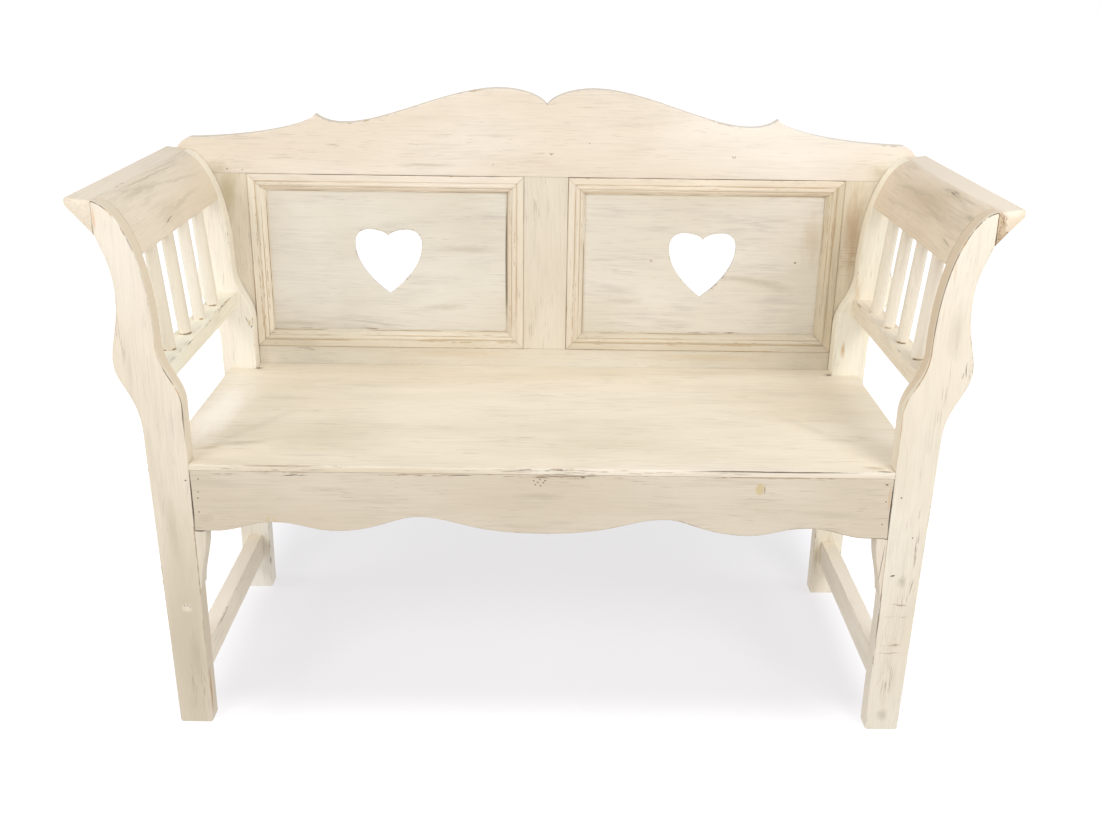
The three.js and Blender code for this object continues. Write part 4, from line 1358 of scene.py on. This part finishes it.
    def arm_section(self) -> tuple[np.ndarray, np.ndarray]:
        """Works out the arm rest's section.

        Returns:
            A loop in X and Z, and how worn each place on it is.
        """
        cove = self.cove(120)
        cove = cove[cove[:, 1] >= self.arm_low]
        low = np.array([cove[-1, 0], self.arm_low])
        tip = np.array([self.arm_tip, SIZES.arm_top + self.arm_tip_rise])
        cut = (cove[0, 0], self.top_cut_low)
        corners = np.array([*(low + self.low_corners), cut, *(tip + self.tip_corners), cove[0]])
        loop = np.concatenate([
            evenly(corners, self.section_spacing)[:-1],
            evenly(cove[:-1], self.section_spacing),
            [low + self.last_corner],
        ])
        rubbed = np.array([tip - (0.0, self.tip_wear_drop), low, cove[0]])
        near = 1 - np.linalg.norm(loop[:, None] - rubbed[None], axis=2) / self.wear_reach
        return loop, np.clip(near, 0, 1).max(axis=1)

    def make_arm_rest(self) -> None:
        """Builds the rolled arm rest: its section carried from front to back.

        Between the legs it is the whole section. Beside them only the part beyond their tops goes
        on: there every place of the section is moved out to the legs' top cut, onto one upright line.
        """
        loop, worn = self.arm_section()
        cut_x = self.cove()[0, 0] + SIZES.fit
        inside = loop[:, 0] < cut_x
        height = (loop[inside, 1] - self.arm_low) / (SIZES.arm_top - self.arm_low)
        beyond = loop.copy()
        beyond[inside, 0] = cut_x
        beyond[inside, 1] = self.top_cut_low + height * (SIZES.arm_top - self.top_cut_low)
        near, far = SIZES.front_leg_back + SIZES.fit, SIZES.rear_leg_front - SIZES.fit
        steps, drawn_in = np.array(self.arm_end_steps), np.array(self.arm_end_drawn_in)
        middle = np.linspace(near, far, self.arm_stations)
        back = SIZES.frame_face - SIZES.fit - steps[::-1]
        stations = np.concatenate([SIZES.front + steps, [near], middle, [far], back])
        beside = len(steps) + 1
        sections = np.stack([beyond] * len(stations))
        sections[beside:-beside] = loop
        shrink = np.zeros(len(stations))
        shrink[:len(drawn_in)], shrink[-len(drawn_in):] = drawn_in, drawn_in[::-1]
        away = sections - beyond.mean(axis=0)
        away /= np.maximum(np.linalg.norm(away, axis=2, keepdims=True), 1e-6)
        sections -= away * shrink[:, None, None]
        rubbed = np.where(shrink[:, None] > 0, self.arm_end_wear, worn)
        surface = lofted(spots(sections[..., 0], stations[:, None], sections[..., 1]), rubbed)
        face = surface.vertices[surface.quads]
        area = np.linalg.norm(np.cross(face[:, 2] - face[:, 0], face[:, 3] - face[:, 1]), axis=1)
        surface.quads = surface.quads[area > self.smallest_face]
        self.shop.finish(self.side.named("arm_rest"), "rolled", self.side.turn(surface), Grain.ALONG_Y,
                         self.arm_pattern + self.side.step, hair_share=0.14, pore_share=0.20, grey_share=0.42)

    def make_spindles(self) -> None:
        """Builds four plain spindles, each a circle carried along its leaning line.

        The radius swells a little in the middle and is drawn in where it enters the rail and arm.
        """
        foot = np.array([self.spindle_foot_x, self.rail_high[2]])
        head = np.array([self.spindle_head_x, self.arm_low])
        length = np.linalg.norm(head - foot)
        lean = (head - foot) / length
        low, high = self.clear_of_ends
        middle = np.linspace(low, length - high, self.spindle_rings)
        run = np.concatenate([self.foot_steps, middle, length + np.array(self.head_steps)])
        angle = np.linspace(0, 2 * math.pi, self.spindle_sides, endpoint=False)
        swell = self.spindle_swell * np.sin(np.clip(run / length, 0, 1) * math.pi) - self.spindle_slimmer
        dirt = np.exp(-np.abs(run - self.foot_dirt) / self.foot_dirt_reach)[:, None]
        for number, place in enumerate(self.spindle_places):
            rng = np.random.default_rng(self.spindle_seed + number + 10 * self.side.step)
            ripple = np.sin(run / self.spindle_ripple + number)[:, None]
            uneven = self.spindle_uneven * wander(angle.size, 3, rng)[None, :] * ripple
            radius = self.spindle_radius + swell[:, None] + uneven
            ring_x, ring_y = radius * np.cos(angle), radius * np.sin(angle)
            x = foot[0] + run[:, None] * lean[0] + ring_x * lean[1]
            z = foot[1] + run[:, None] * lean[1] - ring_x * lean[0]
            surface = self.side.turn(lofted(spots(x, place + ring_y, z), hollow=dirt))
            node = f"{self.side.named('arm_spindle')}_{number + 1}"
            self.shop.finish(node, "rod", surface, Grain.ALONG_Z, 2.1 * number + 7.7 * self.side.step,
                             streak_share=0.04, grey_share=0.14, quirk_share=0.95)

    def build(self) -> None:
        """Builds and dresses the whole end."""
        self.make_legs()
        self.make_bars()
        self.make_arm_rest()
        self.make_spindles()


# Seat


@dataclass
class Seat:
    """The notched seat board, the scalloped apron with its brackets, and the carcass below."""

    shop: PaintShop
    side_edge: float = 560.0
    apron_end: float = 512.5
    apron_back: float = -225.0
    apron_low: float = 333.5
    apron_gap: float = 0.05
    apron_start: Numbers = (0.945, 0.0)
    apron_shares: Shares = (
        (0.872, 0.0, 0.845, 0.156, 0.772, 0.156),
        (0.692, 0.156, 0.669, 0.021, 0.594, 0.021),
        (0.476, 0.021, 0.417, 0.275, 0.358, 0.275),
        (0.251, 0.275, 0.222, 0.016, 0.0, 0.016),
    )
    bracket_width: float = 16.0
    bracket_height: float = 96.0
    bracket_shares: Shares = ((1.0, 0.55, 0.35, 0.45, 0.12, 0.0),)

    def make_board(self) -> None:
        """Builds the seat board, notched round the four legs."""
        notch, edge = SIZES.leg_inner - SIZES.fit, self.side_edge
        near, far = SIZES.front_leg_back + SIZES.fit, SIZES.rear_leg_front - SIZES.fit
        half = [(notch, SIZES.front), (notch, near), (edge, near), (edge, far), (notch, far),
                (notch, SIZES.frame_face - SIZES.fit)]
        corners = [*half, *((-x, y) for x, y in reversed(half))]
        edges = []
        for start, end in zip(corners, corners[1:] + corners[:1]):
            front, side = end == corners[0], start[0] == end[0] and abs(end[0]) == edge
            soften, worn = 1.7 if front or side else 0.7, 1.3 if front else 0.5
            edges.append(straight(start, end, soften=soften, worn=worn))
        board = Board(edges, SIZES.seat_under, SIZES.seat_top, Plane.XY, seed=51)
        self.shop.finish("seat_board", "planed", board.surface(), Grain.ALONG_X, 0.4)

    def make_apron(self) -> None:
        """Builds the apron: straight above, scalloped below."""
        end, low, top = self.apron_end, self.apron_low, SIZES.seat_under - self.apron_gap
        scale = np.array([end, SIZES.seat_under - low])
        half = np.array([0.0, low]) + bezier_chain(self.apron_start, self.apron_shares) * scale
        wave = np.concatenate([[(-end, low)], half * [-1.0, 1.0], half[::-1][1:], [(end, low)]])
        edges = [
            Edge(wave, 1.6),
            straight((end, low), (end, top), soften=0.6, worn=0.5),
            straight((end, top), (-end, top), soften=0.7, worn=1.2),
            straight((-end, top), (-end, low), soften=0.6, worn=0.5),
        ]
        board = Board(edges, SIZES.front, self.apron_back, seed=52)
        self.shop.finish("front_apron", "scalloped", board.surface(), Grain.ALONG_X, 1.9)

    def make_brackets(self) -> None:
        """Builds the two brackets: a rounded section that narrows down to a point."""
        top, inner = self.apron_low - SIZES.fit, SIZES.leg_inner - SIZES.fit
        curve = bezier_chain((1.0, 1.0), self.bracket_shares)
        size = [self.bracket_width, self.bracket_height]
        edge = np.array([inner, top]) + (curve * [-1.0, 1.0] - [0.0, 1.0]) * size
        low = float(edge[-1, 1])
        edges = [
            Edge(edge, 0.8),
            straight(edge[-1], (inner, low), soften=0.2, worn=0.3),
            straight((inner, low), (inner, top), soften=0.3, worn=0.6),
            straight((inner, top), edge[0], soften=0.4, worn=0.6),
        ]
        board = Board(edges, SIZES.front, SIZES.front_leg_back, spacing=3.0, face_ring=0.6, chip_depth=0.0,
                      seed=53)
        for side in Side:
            node, surface = side.named("front_leg_bracket"), side.turn(board.surface())
            self.shop.finish(node, "shaped", surface, Grain.ALONG_Z, 3.3 + side.step)

    @staticmethod
    def dress_carcass(pine: SawnPine) -> None:
        """Dresses the rails, bearers and corner blocks, which stay as they are.

        Args:
            pine: Their finish.
        """
        along = pine.material("sawn_pine_rails", Grain.ALONG_Y, 0.3)
        upright = pine.material("sawn_pine_blocks", Grain.ALONG_Z, 2.2)
        for side in Side:
            for name, material in (("seat_side_rail", along), ("seat_bearer", along),
                                   ("corner_block_front", upright), ("corner_block_rear", upright)):
                dress_node(side.named(name), material)

    def build(self) -> None:
        """Builds and dresses the whole seat."""
        self.make_board()
        self.make_apron()
        self.make_brackets()
        self.dress_carcass(SawnPine())


# Back


@dataclass
class BackFrame:
    """Crest rail, bottom rail and three stiles round the two panels."""

    shop: PaintShop
    crest_end: float = 636.0
    crest_top: float = 928.0
    notch: Numbers = (0.0, 0.823)
    lobe_shares: Shares = (
        (0.019, 0.933, 0.071, 1.0, 0.126, 1.0),
        (0.259, 1.0, 0.43, 0.592, 0.542, 0.592),
        (0.573, 0.592, 0.6, 0.624, 0.615, 0.684),
    )
    shoulder_shares: Shares = (
        (0.637, 0.552, 0.784, 0.425, 0.953, 0.408),
        (0.968, 0.4, 0.988, 0.325, 1.0, 0.211),
    )

    def make_crest(self) -> None:
        """Builds the crest rail with its two lobes, spurs and rounded ends."""
        base = np.array([0.0, SIZES.opening_high])
        scale = np.array([self.crest_end, self.crest_top - SIZES.opening_high])
        lobe = base + bezier_chain(self.notch, self.lobe_shares) * scale
        shoulder = base + bezier_chain(self.lobe_shares[-1][4:], self.shoulder_shares) * scale
        low, end = SIZES.opening_high + SIZES.fit, self.crest_end
        edges = [
            straight((-end, low), (end, low), soften=0.4, worn=0.4),
            straight((end, low), shoulder[-1], soften=1.4),
            Edge(shoulder[::-1], 2.2),
            Edge(lobe[::-1], 2.2),
            Edge(lobe * [-1.0, 1.0], 2.2),
            Edge(shoulder * [-1.0, 1.0], 2.2),
            straight(shoulder[-1] * [-1.0, 1.0], (-end, low), soften=1.4),
        ]
        board = Board(edges, SIZES.frame_face, SIZES.back, seed=61)
        self.shop.finish("back_crest_rail", "shaped", board.surface(), Grain.ALONG_X, 4.1)

    def make_members(self) -> None:
        """Builds the bottom rail and the centre stile."""
        end, half, face = SIZES.leg_inner - SIZES.fit, SIZES.centre_stile_half, SIZES.frame_face
        low, high = (-end, face, SIZES.bottom_rail_low), (end, SIZES.back, SIZES.opening_low)
        rail = bar(low, high, soften=0.5, worn=0.6, seed=62, plane=Plane.XZ)
        self.shop.finish("back_bottom_rail", "board", rail, Grain.ALONG_X, 6.2)
        low, high = (-half, face, SIZES.opening_low + SIZES.fit), (half, SIZES.back, SIZES.opening_high)
        stile = bar(low, high, soften=0.6, worn=0.6, seed=63, plane=Plane.XZ)
        self.shop.finish("back_centre_stile", "board", stile, Grain.ALONG_Z, 8.4)

    def make_stiles(self) -> None:
        """Builds the outer stiles, wider towards the top."""
        inner, foot, head = SIZES.leg_inner, SIZES.bottom_rail_low, SIZES.opening_high
        low_corner, high_corner = (SIZES.stile_outer, foot), (SIZES.stile_top_outer, head)
        edges = [
            straight((inner, foot), low_corner, soften=0.8),
            straight(low_corner, high_corner, soften=1.6),
            straight(high_corner, (inner, head), soften=0.4, worn=0.3),
            straight((inner, head), (inner, foot), soften=0.5, worn=0.6),
        ]
        for side in Side:
            board = Board(edges, SIZES.frame_face + SIZES.fit, SIZES.back, seed=64 + side.step)
            node, surface = side.named("back_stile"), side.turn(board.surface())
            self.shop.finish(node, "tapered", surface, Grain.ALONG_Z, 9.5 + side.step)

    def build(self) -> None:
        """Builds and dresses the frame."""
        self.make_crest()
        self.make_members()
        self.make_stiles()


@dataclass
class HeartPanel:
    """One thin panel with a heart cut through it, and its four mitred mouldings.

    The quirks are a moulding's hollows, each with its place across, how wide and how dirty it is.
    """

    side: Side
    shop: PaintShop
    edge_in_groove: float = 6.5
    heart_half_width: float = 58.51
    heart_half_height: float = 57.53
    heart_points: int = 260
    heart_rounding: float = 1.0
    heart_border: float = 4.0
    heart_wear: float = 0.9
    blends: Numbers = (0.0, 0.06, 0.15, 0.3, 0.5, 0.75, 1.0)
    heart_shares: Shares = (
        (0.34, -0.73, 1.0, -0.17, 1.0, 0.57),
        (1.0, 0.83, 0.82, 1.0, 0.58, 1.0),
        (0.31, 1.0, 0.07, 0.92, 0.0, 0.8),
    )
    moulding_width: float = 29.7
    moulding_height: float = 15.0
    section_shares: Shares = (
        (0.0, 0.0), (0.0, 0.9), (0.05, 1.0), (0.36, 1.0), (0.4, 0.86), (0.45, 0.84),
        (0.5, 0.95), (0.58, 0.97), (0.66, 0.88), (0.69, 0.74), (0.73, 0.74), (0.78, 0.7),
        (0.88, 0.5), (0.93, 0.26), (1.0, 0.22), (1.0, 0.0),
    )
    section_spacing: float = 0.5
    eased_above: float = 1.0
    face_above: float = 2.5
    quirks: Shares = ((0.425, 0.95, 0.72), (0.71, 0.95, 0.72), (0.965, 0.8, 1.0), (0.0, 0.6, 0.9))
    crests: Numbers = (0.03, 0.37, 0.54, 0.80)
    crest_reach: float = 0.9
    moulding_step: float = 12.0
    moulding_seed: int = 80
    moulding_pattern: float = 0.37
    ripple: float = 0.10
    ripple_places: int = 41
    moulding_bare: Colour = from_srgb(182, 148, 106)
    moulding_rust: Colour = from_srgb(134, 104, 70)
    moulding_silt: Colour = from_srgb(176, 146, 102)

    @property
    def middle(self) -> np.ndarray:
        """The opening's middle in X and Z, on the right."""
        across = (SIZES.centre_stile_half + SIZES.leg_inner) / 2
        return np.array([across, (SIZES.opening_low + SIZES.opening_high) / 2])

    def heart(self) -> np.ndarray:
        """Works out the heart.

        Returns:
            An even loop in X and Z from its tip up the right-hand lobe and back down the left.
        """
        half = bezier_chain((0.0, -1.0), self.heart_shares, 80)
        loop = np.concatenate([half, (half * [-1.0, 1.0])[::-1][1:]])
        loop = loop * [self.heart_half_width, self.heart_half_height] + self.middle
        return evenly(loop, loop_count=self.heart_points)

    def border(self, heart: np.ndarray) -> np.ndarray:
        """Where rays from the heart's middle through its loop meet the panel's edge, its corners kept.

        Args:
            heart: The heart's loop.

        Returns:
            As many places on the panel's edge.
        """
        low = np.array([SIZES.centre_stile_half, SIZES.opening_low]) - self.edge_in_groove
        high = np.array([SIZES.leg_inner, SIZES.opening_high]) + self.edge_in_groove
        ray = heart - self.middle
        reach = np.where(ray > 0, (high - self.middle) / np.where(ray > 0, ray, 1), np.inf)
        reach = np.minimum(reach, np.where(ray < 0, (low - self.middle) / np.where(ray < 0, ray, 1), np.inf))
        edge = self.middle + ray * reach.min(axis=1, keepdims=True)
        corners = np.array([(low[0], low[1]), (high[0], low[1]), (high[0], high[1]), (low[0], high[1])])
        nearest = np.linalg.norm(edge[None] - corners[:, None], axis=2).argmin(axis=1)
        edge[nearest] = corners
        return edge

    def make_panel(self) -> None:
        """Builds the panel: rings between the heart and the panel's edge, on both faces.

        Each ring is (1 - s) wide + s edge, where wide is the heart and its border. The first ones turn
        round the heart's sawn edge: at an angle a they lie r (1 - cos a) out and r (1 - sin a) deep.
        """
        heart, size = self.heart(), self.heart_rounding
        edge, outward = self.border(heart), heart - self.middle
        outward /= np.linalg.norm(outward, axis=1, keepdims=True)
        front, back = SIZES.panel_front, SIZES.panel_back
        angle = np.linspace(0, math.pi / 2, 5)
        rounded = heart + outward * size * (1 - np.cos(angle))[:, None, None]
        deep = size * (1 - np.sin(angle))
        share = np.array(self.blends)[:, None, None]
        flat = (1 - share) * (heart + outward * self.heart_border) + share * edge
        rings = np.concatenate([rounded[::-1], rounded, flat, flat[::-1]])
        flat_front, flat_back = np.full(len(flat), front), np.full(len(flat), back)
        level = np.concatenate([back - deep[::-1], front + deep, flat_front, flat_back])
        worn = np.repeat([self.heart_wear, 0.0], [2 * len(rounded) * len(heart), 2 * len(flat) * len(heart)])
        vertices = Plane.XZ.place(rings[..., 0], rings[..., 1], level[:, None]).reshape(-1, 3)
        surface = Surface(vertices, grid_quads(len(rings), len(heart), closed=True), worn=worn)
        self.shop.finish(self.side.named("back_panel"), "heart", self.side.turn(surface), Grain.ALONG_X,
                         12.4 + 2 * self.side.step, Slot.PANEL, grey=PANEL_GREY, grey_share=0.62,
                         hair_share=0.17, pore_share=0.22)

    def section(self) -> tuple[np.ndarray, np.ndarray, np.ndarray]:
        """Works out the moulding's section, its corners eased.

        Wear and dirt fall off as exp(-(d / reach)^2) at a distance d from a crest or a quirk.

        Returns:
            The section's loop, and how worn and how hollow each place on it is.
        """
        points = np.array(self.section_shares) * [self.moulding_width, self.moulding_height]
        fine = evenly(np.concatenate([points, points[:1]]), self.section_spacing)[:-1]
        eased = (np.roll(fine, 1, axis=0) + 2 * fine + np.roll(fine, -1, axis=0)) / 4
        fine = np.where((fine[:, 1] > self.eased_above)[:, None], eased, fine)
        shares, widths, weights = np.array(self.quirks).T
        quirks, crests = shares * self.moulding_width, np.array(self.crests) * self.moulding_width
        across, on_face = fine[:, :1], fine[:, 1] > self.face_above
        hollow = (weights * np.exp(-(((across - quirks) / widths) ** 2))).max(axis=1) * on_face
        worn = np.exp(-(((across - crests) / self.crest_reach) ** 2)).max(axis=1) * on_face
        return fine, worn, hollow

    def moulding(self, length: float, seed: int) -> Surface:
        """A mitred length lying along X, its outer edge low: the section carried along its length.

        At a place t from -1 to 1 each point of the section lies at t times half the length less
        how far in it is, which mitres both ends.

        Args:
            length: The opening's side.
            seed: Starts its random draws.

        Returns:
            The surface about the side's middle, with its face towards -Y.
        """
        rng = np.random.default_rng(seed)
        section, worn, hollow = self.section()
        t = np.linspace(-1, 1, max(3, int(length / self.moulding_step)))[:, None]
        along = t * (length / 2 - section[None, :, 0] - 2 * SIZES.fit)
        places, heights = np.arange(self.ripple_places), rng.normal(0, 1, self.ripple_places)
        ripple = self.ripple * np.interp(np.linspace(0, places[-1], t.size), places, heights)[:, None]
        up = section[None, :, 1] + ripple * (section[None, :, 1] > self.face_above)
        return lofted(spots(along, -up, section[None, :, 0] + SIZES.fit), worn, hollow)

    def make_mouldings(self) -> None:
        """Builds the four mouldings round the opening, each turned by one more quarter."""
        wide = SIZES.leg_inner - SIZES.centre_stile_half
        high = SIZES.opening_high - SIZES.opening_low
        x, z = self.middle
        strips = (
            ("bottom", wide, x, SIZES.opening_low, Grain.ALONG_X),
            ("outer", high, SIZES.leg_inner, z, Grain.ALONG_Z),
            ("top", wide, x, SIZES.opening_high, Grain.ALONG_X),
            ("inner", high, SIZES.centre_stile_half, z, Grain.ALONG_Z),
        )
        quarter = np.array([[0.0, -1.0], [1.0, 0.0]])
        for number, (name, length, place_x, place_z, grain) in enumerate(strips):
            seed = self.moulding_seed + number + 5 * self.side.step
            surface = self.moulding(length, seed)
            flat = surface.vertices[:, [0, 2]] @ np.linalg.matrix_power(quarter, number).T
            across = surface.vertices[:, 1] + SIZES.panel_front
            surface.vertices = spots(flat[:, 0] + place_x, across, flat[:, 1] + place_z)
            self.shop.finish(self.side.named(f"moulding_{name}"), "run", self.side.turn(surface), grain,
                             seed * self.moulding_pattern, crease=50.0, bare=self.moulding_bare,
                             rust=self.moulding_rust, silt=self.moulding_silt,
                             quirk_share=0.72 if name == "top" else 0.9)

    def build(self) -> None:
        """Builds and dresses the panel and its mouldings."""
        self.make_panel()
        self.make_mouldings()


# Studio


@dataclass
class Studio:
    """Pale floor, soft lights, white surroundings and the camera.

    Each lamp has its name, its place and what it points at in metres, its side and its watts.
    """

    image_width: float = 1100.0
    focal_pixels: float = 1221.96
    sensor: float = 36.0
    clip: Numbers = (0.05, 100.0)
    pitch: float = 0.3595
    roll: float = 0.0134
    yaw: float = 0.0029
    eye: Numbers = (0.00563, -1.87707, 1.14091)
    ambient: float = 0.43
    floor_rings: Numbers = (0.0005, 1.0, 2.5, 6.0, 14.0)
    floor_sides: int = 96
    floor_colour: Colour = (0.25, 0.25, 0.2525)
    # The floor's glow to the camera inside the painted shadow under the bench.
    floor_glow_in_painted_shadow: float = 0.64
    floor_tint: Colour = (1.0, 0.99, 1.012)
    floor_bounce: float = 0.58
    # A painted shadow: the floor's glow to the camera is lowest under and behind the bench, in a box of these
    # half sizes, and fades to full white past it.
    floor_painted_shadow_centre: Numbers = (0.0, 0.40, 0.0)
    floor_painted_shadow_half: Numbers = (0.50, 0.54, 0.0)
    floor_painted_shadow_fade: Numbers = (0.17, 0.20, 1.0)
    lamps: Sequence[tuple[Any, ...]] = (
        ("key_softbox", (1.2, -1.8, 1.8), (0.1, 0.1, 0.75), 0.9, 25.0),
        ("fill_softbox", (-1.4, -1.8, 1.6), (-0.1, 0.1, 0.7), 0.9, 17.3),
        ("left_end_softbox", (-2.0, 0.0, 1.0), (-0.45, 0.05, 0.42), 0.6, 8.0),
        ("right_end_softbox", (2.0, 0.0, 1.0), (0.45, 0.05, 0.42), 0.6, 7.0),
        ("top_softbox", (0.0, -0.3, 2.8), (0.0, 0.0, 0.4), 1.6, 9.5),
    )

    def make_camera(self) -> None:
        """Sets the camera at the photograph's viewpoint."""
        level = np.array([math.cos(self.yaw), -math.sin(self.yaw), 0.0])
        flat = math.cos(self.pitch)
        forward = np.array([math.sin(self.yaw) * flat, math.cos(self.yaw) * flat, -math.sin(self.pitch)])
        down = np.cross(forward, level)
        right = math.cos(self.roll) * level - math.sin(self.roll) * down
        down = math.sin(self.roll) * level + math.cos(self.roll) * down
        data = bpy.data.cameras.new("camera")
        data.sensor_width = self.sensor
        data.lens = self.focal_pixels / self.image_width * self.sensor
        data.clip_start, data.clip_end = self.clip
        camera = bpy.data.objects.new("camera", data)
        turn = Matrix(np.stack([right, -down, -forward], axis=1).tolist()).to_4x4()
        camera.matrix_world = Matrix.Translation(Vector(self.eye)) @ turn
        bpy.context.scene.collection.objects.link(camera)
        bpy.context.scene.camera = camera

    def make_world(self) -> None:
        """White to the camera and in gloss, an even soft light to everything else."""
        world = bpy.data.worlds.new("studio_white")
        world.use_nodes = True
        graph = Graph(world.node_tree)
        path = graph.node("LightPath").outputs
        through = graph.math("MAXIMUM", path["Is Glossy Ray"], path["Is Transmission Ray"])
        seen = graph.math("MAXIMUM", path["Is Camera Ray"], through)
        background = world.node_tree.nodes["Background"].inputs
        background["Color"].default_value = (1.0, 1.0, 1.0, 1.0)
        strength = graph.math("ADD", self.ambient, graph.times(seen, 1.0 - self.ambient))
        graph.feed(background["Strength"], strength)
        bpy.context.scene.world = world

    def floor_material(self) -> bpy.types.Material:
        """Builds a matt floor that glows white to the camera, less so under and behind the bench, where the
        lower glow is a painted shadow.

        Returns:
            The material.
        """
        material = bpy.data.materials.new("studio_floor")
        material.use_nodes = True
        graph, nodes = Graph(material.node_tree), material.node_tree.nodes
        nodes.remove(nodes["Principled BSDF"])
        path = graph.node("LightPath").outputs
        seen = graph.math("MAXIMUM", path["Is Camera Ray"], path["Is Glossy Ray"])
        matt = graph.node("BsdfDiffuse", {"Color": self.floor_colour}).outputs[0]
        away = graph.vector("SUBTRACT", graph.node("TexCoord").outputs["Object"], self.floor_painted_shadow_centre)
        past = graph.vector("SUBTRACT", graph.vector("ABSOLUTE", away), self.floor_painted_shadow_half)
        beyond = graph.vector("DIVIDE", graph.vector("MAXIMUM", past, (0.0, 0.0, 0.0)), self.floor_painted_shadow_fade)
        # Painted shadow: the glow drops under and behind the bench.
        white = graph.span(graph.length(beyond), 0.0, 1.0, self.floor_glow_in_painted_shadow, 1.0)
        lost = graph.times(graph.math("SUBTRACT", 1.0, seen), self.floor_bounce)
        strength = graph.math("ADD", graph.times(seen, white), lost)
        glow = graph.node("Emission", {"Color": self.floor_tint, "Strength": strength}).outputs[0]
        both = graph.node("AddShader", {0: matt, 1: glow}).outputs[0]
        graph.feed(nodes["Material Output"].inputs["Surface"], both)
        return material

    def make_floor(self) -> None:
        """A wide floor that shows white where it is lit, keeps the bench's soft shadow and has a painted
        shadow under and behind it.
        """
        angle = np.linspace(0, 2 * math.pi, self.floor_sides, endpoint=False)
        radius = np.array(self.floor_rings)[:, None]
        places = spots(radius * np.cos(angle), radius * np.sin(angle), 0.0).reshape(-1, 3)
        faces = grid_quads(len(radius), self.floor_sides).tolist() + [list(range(self.floor_sides))]
        mesh = bpy.data.meshes.new("floor")
        mesh.from_pydata(places.tolist(), [], faces)
        mesh.materials.append(self.floor_material())
        floor = bpy.data.objects.new("floor", mesh)
        bpy.context.scene.collection.objects.link(floor)

    @staticmethod
    def make_lamp(name: str, place: Numbers, aim: Numbers, size: float, power: float) -> None:
        """Adds a square soft light.

        Args:
            name: The lamp's name.
            place: Where it stands, in metres.
            aim: What it points at.
            size: Its side.
            power: Its power in watts.
        """
        data = bpy.data.lights.new(name, "AREA")
        data.size, data.energy = size, power
        lamp = bpy.data.objects.new(name, data)
        lamp.location = Vector(place)
        lamp.rotation_mode = "QUATERNION"
        lamp.rotation_quaternion = (Vector(aim) - Vector(place)).to_track_quat("-Z", "Y")
        bpy.context.scene.collection.objects.link(lamp)

    def build(self) -> None:
        """Sets up the whole studio."""
        self.make_camera()
        self.make_world()
        self.make_floor()
        for lamp in self.lamps:
            self.make_lamp(*lamp)
        bpy.context.scene.view_settings.view_transform = "Standard"


def main() -> None:
    """Builds the bench and its studio in order."""
    logging.basicConfig(level=logging.INFO, format="%(name)s: %(message)s")
    GroupMaker().make_all()
    shop = PaintShop()
    for side in Side:
        EndFrame(side, shop).build()
    Seat(shop).build()
    BackFrame(shop).build()
    for side in Side:
        HeartPanel(side, shop).build()
    Studio().build()


if __name__ == "__main__":
    main()
